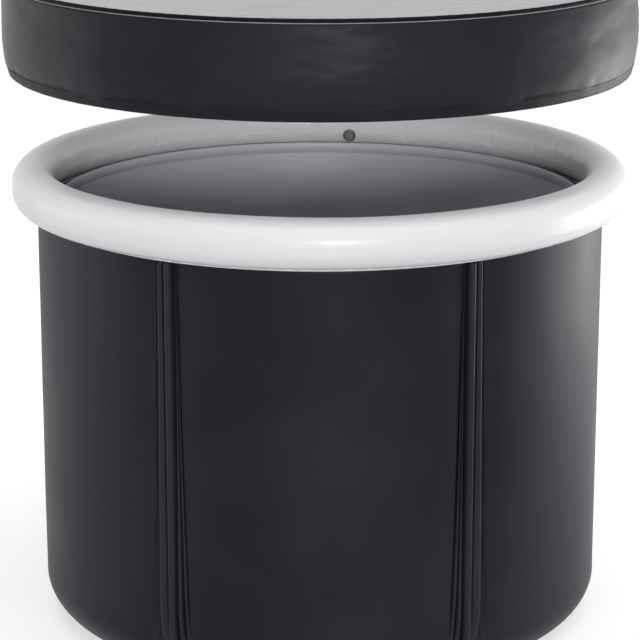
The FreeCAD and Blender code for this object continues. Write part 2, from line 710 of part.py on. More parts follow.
def rod_pieces():
    """Every sleeve and rod, with the rods' upper and lower plugs each as one group."""
    pieces = {}
    feet = []
    heads = []
    for number in range(ROD_COUNT):
        place = polar(ROD_CIRCLE, number * FULL_TURN / ROD_COUNT)
        pieces[f"rod_sleeve_{number + 1}"] = rod_sleeve(place)
        pieces[f"support_rod_{number + 1}"] = support_rod(place)
        feet.append(rod_end(place, ROD_FOOT, UP))
        heads.append(rod_end(place, ROD_HEAD, -UP))
    pieces["rod_feet"] = Part.makeCompound(feet)
    pieces["rod_heads"] = Part.makeCompound(heads)
    return pieces


def drain_pieces():
    """The drain fitting and its tap."""
    seats = [tap_seat(CAVITY_START), tap_seat(BALL_PLACE + BALL_TO_SEAT)]
    pieces = {
        "drain_bulkhead": drain_bulkhead(),
        "drain_outer_gasket": curved_washer(FLANGE_RADIUS, WALL_RADIUS),
        "drain_inner_gasket": curved_washer(NUT_RADIUS, NUT_FACE),
        "drain_lock_nut": drain_lock_nut(),
        "tap_body": tap_body(),
        "tap_outlet": tap_outlet(),
        "tap_seats": Part.makeCompound(seats),
        "tap_ball": tap_ball(),
        "tap_stem": tap_stem(),
        "tap_stem_seal": tap_stem_seal(),
        "tap_handle": tap_handle(),
        "tap_handle_screw": tap_handle_screw(),
    }
    return {name: swung(shape, DRAIN_AZIMUTH) for name, shape in pieces.items()}


def lid_pieces():
    """The lid, raised above the ring."""
    return {
        "lid_top": lid_top(),
        "lid_piping": lid_piping(),
        "lid_skirt": lid_skirt(),
        "lid_binding": lid_binding(),
        "lid_elastic": lid_elastic(),
        "lid_insulation": lid_insulation(),
        "lid_underside": lid_underside(),
    }


def main():
    """Write every piece to its own file."""
    os.makedirs("parts", exist_ok=True)
    for group in (tub_pieces(), rod_pieces(), drain_pieces(), lid_pieces()):
        for name, shape in group.items():
            shape.exportStep(os.path.join("parts", f"{name}.step"))
            print(name, shape.isValid(), len(shape.Solids), round(shape.Volume))


main()
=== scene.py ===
"""The finish of a portable ice bath: skins, inflated ring, padded lid and fittings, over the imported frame.

Metres, +Z up, the front of the tub faces -Y. Every piece is placed from the frame's own boxes.
"""

import math

import bpy
import numpy as np
from bpy.props import FloatProperty, FloatVectorProperty, PointerProperty
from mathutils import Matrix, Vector, noise


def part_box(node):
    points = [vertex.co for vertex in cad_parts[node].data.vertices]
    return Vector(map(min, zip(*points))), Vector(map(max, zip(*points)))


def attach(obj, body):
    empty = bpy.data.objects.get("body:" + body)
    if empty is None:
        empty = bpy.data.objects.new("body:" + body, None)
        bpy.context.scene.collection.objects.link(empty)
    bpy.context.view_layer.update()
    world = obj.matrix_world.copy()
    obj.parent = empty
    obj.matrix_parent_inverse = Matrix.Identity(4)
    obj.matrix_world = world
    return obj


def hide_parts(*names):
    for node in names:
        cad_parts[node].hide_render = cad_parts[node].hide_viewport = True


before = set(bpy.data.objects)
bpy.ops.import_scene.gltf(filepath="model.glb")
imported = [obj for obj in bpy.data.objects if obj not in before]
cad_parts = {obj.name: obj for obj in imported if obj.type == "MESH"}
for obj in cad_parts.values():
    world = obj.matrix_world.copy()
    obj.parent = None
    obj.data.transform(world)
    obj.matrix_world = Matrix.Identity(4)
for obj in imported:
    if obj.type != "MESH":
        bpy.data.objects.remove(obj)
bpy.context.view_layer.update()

bl_info = {
    "name": "Ice Bath Finish",
    "version": (1, 0, 0),
    "blender": (4, 5, 0),
    "location": "3D View > Sidebar > Ice Bath",
    "description": "Dresses a portable ice bath in its skins, ring, lid and fittings",
    "category": "Object",
}

MM = 0.001
TURN = 2 * math.pi

# The tub, read from the frame
WALL_RADIUS = -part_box("outer_wall")[0].y
BASE_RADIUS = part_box("base_panel")[1].x
BASE_BEND = WALL_RADIUS - BASE_RADIUS
RING_LOW, RING_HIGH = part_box("air_ring")
LINER_LOW, LINER_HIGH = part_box("inner_liner")
LINER_OUTSIDE = LINER_HIGH.x
RIM_TOP = LINER_HIGH.z
FOAM_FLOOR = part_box("base_insulation")[1].z
SLEEVE_LOW, SLEEVE_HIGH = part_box("rod_sleeve_1")

# The lid, read from the frame
TOP_LOW, TOP_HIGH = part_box("lid_top")
LID_RADIUS = TOP_HIGH.x
LID_EDGE = TOP_LOW.z
LINING_LOW, LINING_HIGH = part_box("lid_underside")
SKIRT_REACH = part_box("lid_skirt")[1].x
HEM_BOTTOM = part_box("lid_binding")[0].z
HEM_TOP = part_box("lid_binding")[1].z

# How finely the round pieces are divided, and the radius of the innermost row of the flat ones
ROUND_COLUMNS = 288
DOUBLE_COLUMNS = 576
FINE_COLUMNS = 720
FOAM_COLUMNS = 96
HUB = 20 * MM
WIDE_HUB = 30 * MM

# Soft unevenness of a skin: its depth, the size of its lumps, their squeeze along the height, and a seed
WALL_LUMPS = (0.7 * MM, 160 * MM, 1.0, 3.0)
LINER_LUMPS = (1.2 * MM, 90 * MM, 0.5, 11.0)
FLOOR_LUMPS = (0.8 * MM, 100 * MM, 2.0, 5.0)
RING_LUMPS = (0.6 * MM, 220 * MM, 1.0, 8.0)
SKIRT_DENTS = (1.8 * MM, 85 * MM, 1.4, 21.0)
SKIRT_CREASES = (0.5 * MM, 30 * MM, 2.4, 4.0)
TOP_LUMPS = (0.9 * MM, 120 * MM, 3.0, 2.0)
LINING_LUMPS = (0.8 * MM, 100 * MM, 3.0, 9.0)

# Small waves round a skin: their depth, their count and a seed
LINER_GATHERS = (0.8 * MM, 90, 2.0)
RING_PUCKERS = (0.25 * MM, 110, 4.0)
TOP_RIPPLES = (0.7 * MM, 120, 7.0)
PIPING_WANDER = (0.25 * MM, 60, 3.0)
PIPING_SWELL = (0.15 * MM, 150, 5.0)
GATHER_COUNT = 64
GATHER_SEED = 1.0
WAVE_SWAY = 1.6

# The three sets of waves that are laid over each other: share of the count, share of the depth, and sways
WAVE_SETS = ((1.0, 0.5, 5), (0.73, 0.3, 7), (1.37, 0.2, 9))

# The wall and its underside
WALL_SKIN = 2.2 * MM
WALL_TUCK = 1.5 * MM
WALL_TOP = RING_LOW.z + WALL_TUCK
WALL_ROWS = 64
BEND_ROWS = 16
PANEL_COLUMNS = 96
ROD_CROWDING = 0.86
DRAW_LOW = 10 * MM
DRAW_HIGH = BASE_BEND + 20 * MM
BASE_WELD = 6 * MM
BASE_STEP = 2 * MM
BASE_EDGE_LIFT = 0.3 * MM
BASE_LIFT = 0.6 * MM
BASE_ROWS = (280 * MM, 200 * MM, 100 * MM, WIDE_HUB)

# The rods' channels in the wall
ROD_COUNT = 6
SECTOR = TURN / ROD_COUNT
CHANNEL_DEPTH = 7.5 * MM
CHANNEL_LEAN = 4 * MM
CHANNEL_SPREAD = 1.3
CHANNEL_FLAT = 0.86
CHANNEL_LIP = 1.12

# The rods' sleeves: a bead round the rod among pleats, whose creases fan out from above to below
SLEEVE_SKIN = 0.8 * MM
SLEEVE_BEAD = 7.2 * MM
SLEEVE_DEPTH = 13 * MM
SLEEVE_FLOOR = SLEEVE_HIGH.x - SLEEVE_DEPTH
SLEEVE_TAIL = 16 * MM
SLEEVE_FOOT = SLEEVE_LOW.z - SLEEVE_TAIL
SLEEVE_ROWS = 120
SLEEVE_SWAY = 1.6 * MM
SWAY_WAVE = 4.0
SWAY_SHIFT = 1.7
SWAY_FROM = 1.2 * SLEEVE_BEAD
CREASES_ABOVE = np.array([-19 * MM, -SLEEVE_BEAD, SLEEVE_BEAD, 9 * MM, 10.5 * MM])
CREASES_BELOW = np.array([-28 * MM, -SLEEVE_BEAD, SLEEVE_BEAD, 17 * MM, 26 * MM])
FAN_POWER = 1.4
PLEAT_CRESTS = np.array([9.0, 13.0, 10.5, 8.0]) * MM
PLEAT_TAILS = np.array([70.0, 26.0, 60.0, 90.0]) * MM
PLEAT_STEEPNESS = 2.0
PLEAT_COLUMNS = 19

# The liner: a rolled rim, a slack wall with a seam, a bend and a floor
LINER_SKIN = 1.8 * MM
LINER_GAP = 2 * MM
LINER_BEND = 18 * MM
LINER_INSIDE = LINER_OUTSIDE - LINER_GAP
LINER_FLOOR = FOAM_FLOOR + LINER_GAP
LINER_INSET = 0.8 * MM
LINER_FADE = 60 * MM
LINER_ROWS = 70
LINER_BEND_ROWS = 12
LINER_FLOOR_ROWS = 24
RIM_DROPS = np.array([1.0, 0.0, 1.0, 4.0, 14.0, 15.0]) * MM
RIM_SPREADS = np.array([1.2, 0.2, -1.2, -1.8, -1.8, 0.0]) * MM
RIM_LOW = RIM_TOP - 14 * MM
RIM_GAP = 4 * MM
SEAM_ANGLE = math.radians(128)
SEAM_RISE = 0.9 * MM
SEAM_HALF = 9 * MM
SEAM_EDGE = 1 * MM
GATHER_SPAN = 30 * MM
FLOOR_FADE = 1 * MM
SAG_SPAN = 200 * MM

# The ring's oval section and the band that welds it to the wall
RING_TUBE = 29 * MM
RING_STRAIGHT = RING_HIGH.z - RING_LOW.z - 2 * RING_TUBE
RING_RADIUS = RING_HIGH.x - RING_TUBE
RING_MIDDLE = (RING_LOW.z + RING_HIGH.z) / 2
RING_ROWS = 56
RING_WELD_ROWS = (RING_ROWS - 1, 0, 1)
RING_INSET = 0.6 * MM
RING_SLANT = 0.3
PUCKER_SPAN = 0.75
WELD_LOW = WALL_TOP - 5 * MM
WELD_SECTION = np.array([(-3, 0), (0.6, 0), (1.4, 1.5), (1.4, 3), (0.6, 5), (-3, 5)]) * MM

# How skins fill with air: frames, and for each skin its slack and the most that it may move
CLOTH_FRAMES = 20
RING_SLACK = 0.004
RING_GIVE = 2.5 * MM
SKIRT_SLACK = 0.0015
SKIRT_GIVE = 1.5 * MM
LEAST_MOVE = 1e-9

# The foam boards, the base mat and the lid's core
BOARD_COLUMNS = 40
BOARD_HALF_GAP = 0.5 * MM
BOARD_INSIDE_GAP = 0.6 * MM
BOARD_OUTSIDE_GAP = 9 * MM
BOARD_TOP_GAP = 4 * MM
BOARD_RELIEF = 10.5 * MM
BOARD_RELIEF_FROM = 32 * MM
BOARD_RELIEF_TO = 56 * MM
BOARD_EASE = 1.5 * MM
MAT_LOW = 3.4 * MM
MAT_INSET = 4 * MM
MAT_BEND_OUT = 12 * MM
MAT_BEND_UP = 8 * MM
MAT_TOP_GAP = 1 * MM
CORE_INSET = 3 * MM
CORE_LOW_GAP = 1.2 * MM
CORE_TOP_GAP = 4 * MM
CORE_SHARES = (1.0, 0.8, 0.6, 0.4, 0.2, 0.05)

# The lid's piping, skirt and hem
PIPING_RISE = LID_EDGE - 4.6 * MM
PIPING_RADIUS = 2.8 * MM
PIPING_ROWS = 14
SKIRT_SKIN = 1.8 * MM
SKIRT_LOW = HEM_BOTTOM - 1 * MM
SKIRT_HIGH = PIPING_RISE - 4 * MM
SKIRT_FULLEST = SKIRT_LOW + 57 * MM
SKIRT_FADE = SKIRT_HIGH - 22 * MM
SKIRT_ROWS = 40
SKIRT_SEWN_ROWS = (0, 1, 2, 3, 4, SKIRT_ROWS - 2, SKIRT_ROWS - 1)
SHOULDER_POWER = 1.2
HEM_POWER = 2.2
LIP_RISE = 1.2 * MM
LIP_PLACE = SKIRT_HIGH - 1.5 * MM
LIP_SPAN = 1.8 * MM
GATHER_HEIGHT = 60 * MM
GATHER_POWER = 1.5
BINDING_LOW = SKIRT_LOW - 2 * MM
BINDING_RISES = np.array([18.0, 17.0, 4.0, 0.8, 0.0, 0.8, 4.0, 17.0, 18.0]) * MM
BINDING_SPREADS = np.array([-0.2, 0.3, 0.45, 0.1, -0.9, -2.0, -2.5, -2.4, -1.6]) * MM
ELASTIC_INSET = 0.9 * MM
ELASTIC_HALF_WIDTH = 0.6 * MM
ELASTIC_HALF_HEIGHT = 0.5 * MM
ELASTIC_ROWS = 8
# The pale cord under the piping: a painted highlight of the skirt's lit top edge
HIGHLIGHT_CORD_RADIUS = 0.9 * MM
HIGHLIGHT_CORD_ROWS = 10

# The lid's top and lining
LID_SKIN = 1.4 * MM
CROWN_RISE = TOP_HIGH.z - PIPING_RISE - 1 * MM
TOP_EDGE_SPAN = 60 * MM
TOP_EDGE_ROWS = 26
TOP_MIDDLE_START = 68 * MM
TOP_MIDDLE_ROWS = 34
TOP_LUMP_START = 40 * MM
TOP_LUMP_HUB = 100 * MM
TOP_SEAM_DEPTH = 0.8 * MM
TOP_SEAM_INSET = 7 * MM
TOP_SEAM_HALF = 1.6 * MM
RIPPLE_INSET = 8 * MM
RIPPLE_SPAN = 26 * MM
RIPPLE_START = 10 * MM
LINING_INSET = 3 * MM
LINING_RISE = 0.9 * MM
LINING_LUMP_START = 30 * MM
LINING_ROWS = 60

# Stitches
STITCH_COUNT = 560
STITCH_LENGTH = 3.4 * MM
STITCH_THICKNESS = 0.45 * MM
STITCH_STEPS = ((-0.5, 0.35), (-0.3, 1.0), (0.3, 1.0), (0.5, 0.35))
EDGE_STITCH_RISE = SKIRT_HIGH - 4 * MM
EDGE_STITCH_STAND = 0.1 * MM
HEM_STITCH_RISE = SKIRT_LOW + 12 * MM
HEM_STITCH_STAND = 0.6 * MM

# Threads of the weaves, and depths of the bumps
FABRIC_THREAD = 1.1 * MM
LINER_THREAD = 1.4 * MM
LINING_THREAD = 1.6 * MM
PIPING_THREAD = 0.9 * MM
TAPE_THREAD = 0.8 * MM
HIGHLIGHT_CORD_THREAD = 0.5 * MM
SEWING_THREAD = 0.4 * MM
CREASE_BUMP = 2 * MM
WEAVE_BUMP = 0.1 * MM
STREAK_BUMP = 0.2 * MM
GRAIN_BUMP = 0.1 * MM
CELL_BUMP = 0.4 * MM

# Tints of a skin's sheen: plain, and the faint violet of the black skins
PLAIN = (1.0, 1.0, 1.0, 1.0)
VIOLET = (0.90, 0.87, 1.0, 1.0)

# The photograph's camera, in metres, degrees and millimetres
CAMERA_PLACE = (0.0, -3.614, 1.388)
CAMERA_PITCH = 15.07
CAMERA_LENS = 146.35
CAMERA_SENSOR = 36.0

# The far lamps: their spread, their lean from overhead and their turn, in degrees
SKY_LIGHT = (60.0, 12.0, 20.0)
FRONT_LIGHT = (9.0, 82.5, 6.0)

# The near lamps: their place, the point that they face and their width and height
RIGHT_LIGHT = ((1.6, 0.55, 0.38), (0.0, 0.0, 0.38), (1.3, 0.70))
LEFT_LIGHT = ((-1.75, 0.1, 0.6), (0.0, 0.0, 0.45), (1.2, 1.1))

# The floor
FLOOR_HALF = 14.0
FLOOR_DROP = 0.2 * MM


def colour_property(name, description, default):
    """A colour that the panel shows."""
    return FloatVectorProperty(
        name=name, description=description, subtype="COLOR", min=0, max=1, default=default)


def length_property(name, description, default, limits):
    """A length that the panel shows."""
    low, high = limits
    return FloatProperty(
        name=name, description=description, unit="LENGTH", min=low, max=high, default=default)


class TubFinish(bpy.types.PropertyGroup):
    """Colours and soft forms of the tub."""

    wall_colour: colour_property("Wall", "Coated fabric of the outer wall", (0.0100, 0.0093, 0.0140))
    wall_sheen: colour_property("Wall bloom", "Paler bloom in the coated fabric", (0.0158, 0.0148, 0.0218))
    liner_colour: colour_property("Liner", "Pale vinyl of the inner liner", (0.56, 0.56, 0.60))
    ring_colour: colour_property("Ring", "White vinyl of the inflated ring", (0.77, 0.77, 0.79))
    ring_pressure: FloatProperty(
        name="Ring pressure", description="Pressure of the air in the ring's cloth simulation",
        min=0, max=20, default=4.0)
    panel_fullness: length_property(
        "Panel fullness", "How far the wall draws in beside each rod", 8 * MM, (0, 20 * MM))
    panel_fall: length_property(
        "Panel fall", "How far from a rod the wall starts to draw in", 36 * MM, (10 * MM, 200 * MM))
    sleeve_top_width: length_property(
        "Sleeve width above", "Half width of a rod's channel below the ring", 15.5 * MM, (5 * MM, 40 * MM))
    sleeve_foot_width: length_property(
        "Sleeve width below", "Half width of a rod's channel at its foot", 29.5 * MM, (5 * MM, 50 * MM))


class LidFinish(bpy.types.PropertyGroup):
    """Colours and soft forms of the lid."""

    top_colour: colour_property("Top panel", "Pale grey fabric of the lid's top", (0.50, 0.50, 0.515))
    skirt_colour: colour_property("Skirt", "Black coated fabric of the lid's side", (0.009, 0.0087, 0.0115))
    # Pale grey of the cord under the piping, a painted highlight of the skirt's lit top edge
    highlight_cord_colour: colour_property("Edge cord", "Pale cord along the top of the lid's side", (0.26, 0.26, 0.27))
    lining_colour: colour_property("Lining", "Grey lining under the lid", (0.55, 0.55, 0.57))
    skirt_pressure: FloatProperty(
        name="Skirt pressure", description="Pressure of the padding in the skirt's cloth simulation",
        min=0, max=20, default=1.5)
    hem_draw: length_property(
        "Hem draw", "How far the elastic draws in the hem from the fullest line", 7.2 * MM, (0, 30 * MM))
    shoulder_draw: length_property(
        "Shoulder draw", "How far the skirt leans in from its fullest line up", 3.0 * MM, (0, 30 * MM))
    gather_depth: length_property("Gathers", "Depth of the small gathers at the hem", 0.3 * MM, (0, 6 * MM))


class FittingFinish(bpy.types.PropertyGroup):
    """Colours of the valve and the tap."""

    tap_colour: colour_property("Tap", "Moulded plastic of the drain and the tap", (0.030, 0.030, 0.032))
    handle_colour: colour_property("Handle", "Moulded plastic of the tap's lever", (0.05, 0.05, 0.055))
    valve_colour: colour_property("Valve", "Dark plastic of the ring's valve", (0.13, 0.13, 0.14))


class StageSetting(bpy.types.PropertyGroup):
    """Floor and lamps."""

    floor_colour: colour_property("Floor", "Pale studio floor", (0.5, 0.5, 0.5))
    floor_glow: FloatProperty(
        name="Floor glow", description="White added to the floor where it is seen",
        min=0, max=1, default=0.58)
    sky_lamp: FloatProperty(
        name="Sky lamp", description="Strength of the wide soft lamp overhead", min=0, default=1.4)
    front_lamp: FloatProperty(
        name="Front lamp", description="Strength of the low lamp in front", min=0, default=1.27)
    right_power: FloatProperty(
        name="Right lamp", description="Power of the lamp at the right", unit="POWER", min=0, default=13.5)
    left_power: FloatProperty(
        name="Left lamp", description="Power of the lamp at the left", unit="POWER", min=0, default=3.5)
    sky_strength: FloatProperty(
        name="Room light", description="Even light from all round", min=0, default=0.42)


# Surfaces in code

def turned_mesh(name, angles, radius, height, closed=False, pole=False):
    """A mesh round the tub's axis from its radius and height at every row and angle, with UVs in metres.

    Rows run along the section. A closed section joins its last row to its first. A pole shuts the last row.
    """
    radius, height, _ = np.broadcast_arrays(radius, height, angles)
    rows, columns = radius.shape
    points = np.stack([radius * np.cos(angles), radius * np.sin(angles), height], -1)
    row = np.arange(rows if closed else rows - 1)[:, None]
    column = np.arange(columns)[None, :]
    after = (row + 1) % rows
    beside = (column + 1) % columns
    faces = corners_of(row * columns + column, row * columns + beside,
                       after * columns + beside, after * columns + column).tolist()
    steps = np.linalg.norm(np.diff(points, axis=0, append=points[:1]), axis=2).mean(1)
    along = np.concatenate([[0], np.cumsum(steps)])
    around = np.append(angles, angles[0] + TURN) * radius.max()
    u = corners_of(around[column], around[column + 1], around[column + 1], around[column], row)
    v = corners_of(along[row], along[row], along[row + 1], along[row + 1], column)
    uvs = np.stack([u[:, :4], v[:, :4]], -1).reshape(-1, 2)
    vertices = points.reshape(-1, 3)
    if pole:
        vertices = np.vstack([vertices, [[0, 0, height[-1].mean()]]])
        first = (rows - 1) * columns
        faces += [[first + j, first + (j + 1) % columns, rows * columns] for j in range(columns)]
        rim = np.stack([around[:-1], around[1:], around[:-1]], -1)
        edge = along[rows - 1]
        depth = np.tile([edge, edge, edge + radius[-1].mean()], (columns, 1))
        uvs = np.vstack([uvs, np.stack([rim, depth], -1).reshape(-1, 2)])
    return finished_mesh(name, vertices.tolist(), faces, uvs)


def corners_of(*values):
    """Values at the corners of every face of a grid, one row for each face."""
    return np.stack(np.broadcast_arrays(*values), -1).reshape(-1, len(values))


def finished_mesh(name, vertices, faces, uvs=None):
    """An object in the scene with smooth faces."""
    mesh = bpy.data.meshes.new(name)
    mesh.from_pydata(vertices, [], faces)
    if uvs is not None:
        layer = mesh.uv_layers.new(name="cut")
        layer.data.foreach_set("uv", np.asarray(uvs, np.float32).ravel())
    mesh.polygons.foreach_set("use_smooth", [True] * len(mesh.polygons))
    mesh.update()
    piece = bpy.data.objects.new(name, mesh)
    bpy.context.scene.collection.objects.link(piece)
    return piece


def section_of(points):
    """The radius and the height of each point of a section, as columns."""
    table = np.array(points)
    return table[:, :1], table[:, 1:]


def round_section(rows):
    """Angles round the section of a tube or a cord, as a column."""
    return np.linspace(0, TURN, rows, endpoint=False)[:, None]


def thicken(piece, depth, side=-1.0):
    """Give a skin its thickness, behind its face unless the side says otherwise."""
    skin = piece.modifiers.new("skin", "SOLIDIFY")
    skin.thickness = depth
    skin.offset = side
    skin.use_even_offset = False
    return piece


def round_edges(piece, size):
    """Ease the sharp edges of a piece."""
    ease = piece.modifiers.new("eased", "BEVEL")
    ease.width = size
    ease.segments = 2
    ease.limit_method = "ANGLE"


def inflate(piece, rows, held_rows, pressure, slack, limit):
    """Let air fill a skin that is held along some of its rows, and keep the shape that it takes."""
    mesh = piece.data
    count = len(mesh.vertices)
    columns = count // rows
    before = np.empty(count * 3)
    mesh.vertices.foreach_get("co", before)
    group = piece.vertex_groups.new(name="held")
    group.add([row * columns + column for row in held_rows for column in range(columns)], 1.0, "REPLACE")
    filling = piece.modifiers.new("filling", "CLOTH")
    cloth = filling.settings
    cloth.vertex_group_mass = group.name
    cloth.use_pressure = True
    cloth.uniform_pressure_force = pressure
    cloth.shrink_min = -slack
    cloth.effector_weights.gravity = 0
    filling.point_cache.frame_end = CLOTH_FRAMES
    scene = bpy.context.scene
    for number in range(1, CLOTH_FRAMES + 1):
        scene.frame_set(number)
    shown = piece.evaluated_get(bpy.context.evaluated_depsgraph_get())
    after = np.empty(count * 3)
    shown.data.vertices.foreach_get("co", after)
    moved = (after - before).reshape(-1, 3)
    length = np.linalg.norm(moved, axis=1, keepdims=True)
    moved *= np.minimum(1, limit / np.maximum(length, LEAST_MOVE))
    piece.modifiers.remove(filling)
    piece.vertex_groups.remove(group)
    mesh.vertices.foreach_set("co", before + moved.ravel())
    mesh.update()
    scene.frame_set(1)


def even_angles(columns):
    """Angles spread evenly round the tub."""
    return np.arange(columns) * TURN / columns


def smooth_step(value, low, high):
    """0 below low, 1 above high and a smooth rise between."""
    share = np.clip((value - low) / (high - low), 0, 1)
    return share * share * (3 - 2 * share)


def hump(value, middle, span):
    """1 at the middle, falling off smoothly over about one span."""
    return np.exp(-(((value - middle) / span) ** 2))


def lumps(kind, angles, heights):
    """Soft random unevenness round the tub at each angle and height."""
    depth, size, squeeze, seed = kind
    wide = np.broadcast_arrays(angles, heights * squeeze)
    ring = WALL_RADIUS / size
    values = [
        noise.noise(Vector((ring * math.cos(angle), ring * math.sin(angle), rise / size + seed)))
        for angle, rise in zip(wide[0].ravel().tolist(), wide[1].ravel().tolist())
    ]
    return depth * np.array(values).reshape(wide[0].shape)


def waves(kind, angles):
    """Uneven small waves round the tub."""
    depth, count, seed = kind
    total = np.zeros_like(angles)
    for step, (ratio, share, sways) in enumerate(WAVE_SETS):
        sway = WAVE_SWAY * np.sin(angles * sways + seed + step)
        total = total + share * np.sin(angles * round(count * ratio) + sway + seed * (step + 1))
    return depth * total


def dress(piece, body, slot, material, *nodes):
    """Finish a piece: its material, the body that it moves with and the nodes it stands for. The slot is not
    used.
    """
    piece.data.materials.clear()
    piece.data.materials.append(material)
    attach(piece, body)
    if nodes:
        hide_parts(*nodes)
    return piece


def paint(nodes, material):
    """Give nodes of the frame their finish."""
    for node in nodes:
        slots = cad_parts[node].data.materials
        slots.clear()
        slots.append(material)


# Shared effects

def new_group(name, inputs, outputs):
    """An empty shader node group with named float or colour sockets, and its inputs and outputs."""
    group = bpy.data.node_groups.new(name, "ShaderNodeTree")
    for label, value in inputs.items():
        kind = "NodeSocketColor" if isinstance(value, tuple) else "NodeSocketFloat"
        group.interface.new_socket(label, in_out="INPUT", socket_type=kind).default_value = value
    for label, kind in outputs.items():
        group.interface.new_socket(label, in_out="OUTPUT", socket_type=kind)
    given = group.nodes.new("NodeGroupInput").outputs
    return group, given, group.nodes.new("NodeGroupOutput").inputs


def add(tree, kind, links=(), **settings):
    """A node with its settings, and with links or values for (source, input name or number)."""
    made = tree.nodes.new(kind)
    for key, value in settings.items():
        setattr(made, key, value)
    for source, target in links:
        if hasattr(source, "is_output"):
            tree.links.new(source, made.inputs[target])
        else:
            made.inputs[target].default_value = source
    return made


def worked_out(tree, operation, *values):
    """A number worked out from others."""
    links = [(value, place) for place, value in enumerate(values)]
    return add(tree, "ShaderNodeMath", links, operation=operation).outputs[0]


def blend(tree, share, first, second):
    """A colour between two others."""
    return add(tree, "ShaderNodeMix", [(share, 0), (first, 6), (second, 7)], data_type="RGBA").outputs[2]


def spot(tree, kind):
    """The object's own coordinates or its UVs."""
    return add(tree, "ShaderNodeTexCoord").outputs[kind]


def grain(tree, place, scale, detail, *more):
    """Random grain from 0 to 1."""
    links = [(place, "Vector"), (scale, "Scale"), (detail, "Detail"), *more]
    return add(tree, "ShaderNodeTexNoise", links).outputs["Fac"]


def cloudy_tone():
    """Colour and roughness that drift together, softly, over a surface."""
    group, given, put = new_group(
        "cloudy_tone",
        {"Colour": (0.5, 0.5, 0.5, 1), "Bloom": (0.6, 0.6, 0.6, 1), "Scale": 6.0,
         "Roughness low": 0.3, "Roughness high": 0.5},
        {"Colour": "NodeSocketColor", "Roughness": "NodeSocketFloat"})
    drift = grain(group, spot(group, "Object"), given["Scale"], 4.0)
    share = add(group, "ShaderNodeMapRange", [(drift, "Value"), (0.25, 1), (0.75, 2)],
                interpolation_type="SMOOTHERSTEP").outputs[0]
    rough = add(group, "ShaderNodeMapRange",
                [(share, "Value"), (given["Roughness low"], 3), (given["Roughness high"], 4)]).outputs[0]
    group.links.new(blend(group, share, given["Colour"], given["Bloom"]), put["Colour"])
    group.links.new(rough, put["Roughness"])
    return group


def coated_weave():
    """The height of a fine cloth weave that shows through its coating, along the UVs in metres."""
    group, given, put = new_group("coated_weave", {"Thread": FABRIC_THREAD}, {"Height": "NodeSocketFloat"})
    parts = add(group, "ShaderNodeSeparateXYZ", [(spot(group, "UV"), 0)]).outputs
    threads = []
    for axis in ("X", "Y"):
        count = worked_out(group, "DIVIDE", parts[axis], given["Thread"])
        threads.append(worked_out(group, "SINE", worked_out(group, "MULTIPLY", count, math.pi)))
    group.links.new(worked_out(group, "MULTIPLY", *threads), put["Height"])
    return group


def slack_skin():
    """The height of soft creases in a slack skin, stretched along the UVs."""
    group, given, put = new_group(
        "slack_skin", {"Scale": 8.0, "Stretch": 0.25}, {"Height": "NodeSocketFloat"})
    parts = add(group, "ShaderNodeSeparateXYZ", [(spot(group, "UV"), 0)]).outputs
    tall = worked_out(group, "MULTIPLY", parts["Y"], given["Stretch"])
    place = add(group, "ShaderNodeCombineXYZ", [(parts["X"], 0), (tall, 1)]).outputs[0]
    crease = grain(group, place, given["Scale"], 3.0, (0.55, "Roughness"), (0.6, "Distortion"))
    group.links.new(crease, put["Height"])
    return group


def brushed_grain():
    """Fine streaks along the object's X, as a colour and as a height."""
    group, given, put = new_group(
        "brushed_grain",
        {"Colour": (0.5, 0.5, 0.5, 1), "Streak": (0.4, 0.4, 0.4, 1), "Fineness": 400.0},
        {"Colour": "NodeSocketColor", "Height": "NodeSocketFloat"})
    long = add(group, "ShaderNodeVectorMath",
               [(spot(group, "Object"), 0), ((0.06, 1.0, 1.0), 1)], operation="MULTIPLY").outputs[0]
    streak = grain(group, long, given["Fineness"], 2.0)
    share = add(group, "ShaderNodeMapRange", [(streak, "Value"), (0.35, 1), (0.65, 2)]).outputs[0]
    group.links.new(blend(group, share, given["Colour"], given["Streak"]), put["Colour"])
    group.links.new(streak, put["Height"])
    return group


def worn_edge():
    """A colour that turns paler on sharp outer edges, broken up by grain."""
    group, given, put = new_group(
        "worn_edge",
        {"Colour": (0.5, 0.5, 0.5, 1), "Worn": (0.6, 0.6, 0.6, 1), "Grain": 120.0},
        {"Colour": "NodeSocketColor"})
    shape = add(group, "ShaderNodeNewGeometry").outputs["Pointiness"]
    speck = grain(group, spot(group, "Object"), given["Grain"], 3.0)
    edge = add(group, "ShaderNodeMapRange", [(shape, "Value"), (0.5, 1), (0.58, 2)]).outputs[0]
    mask = worked_out(group, "MULTIPLY", edge, speck)
    group.links.new(blend(group, mask, given["Colour"], given["Worn"]), put["Colour"])
    return group


EFFECTS = {
    "cloudy_tone": cloudy_tone,
    "coated_weave": coated_weave,
    "slack_skin": slack_skin,
    "brushed_grain": brushed_grain,
    "worn_edge": worn_edge,
}


def place_effect(tree, name, **values):
    """A shared effect in a material, with its own values; it is built the first time that it is asked for."""
    made = tree.nodes.new("ShaderNodeGroup")
    made.node_tree = bpy.data.node_groups.get(name) or EFFECTS[name]()
    for label, value in values.items():
        socket = made.inputs[label.replace("_", " ")]
        socket.default_value = (*value, 1) if socket.type == "RGBA" else value
    return made


def new_material(name, **plain):
    """A material with a Principled shader whose plain sockets are set here."""
    material = bpy.data.materials.new(name)
    material.use_nodes = True
    shader = material.node_tree.nodes["Principled BSDF"]
    for label, value in plain.items():
        shader.inputs[label.replace("_", " ")].default_value = value
    return material, material.node_tree, shader


def add_bump(tree, shader, height, strength, distance, before=None):
    """A bump from a height, after another bump if one is given."""
    bump = add(tree, "ShaderNodeBump", [(height, "Height"), (strength, "Strength"), (distance, "Distance")])
    if before:
        tree.links.new(before.outputs[0], bump.inputs["Normal"])
    tree.links.new(bump.outputs[0], shader.inputs["Normal"])
    return bump


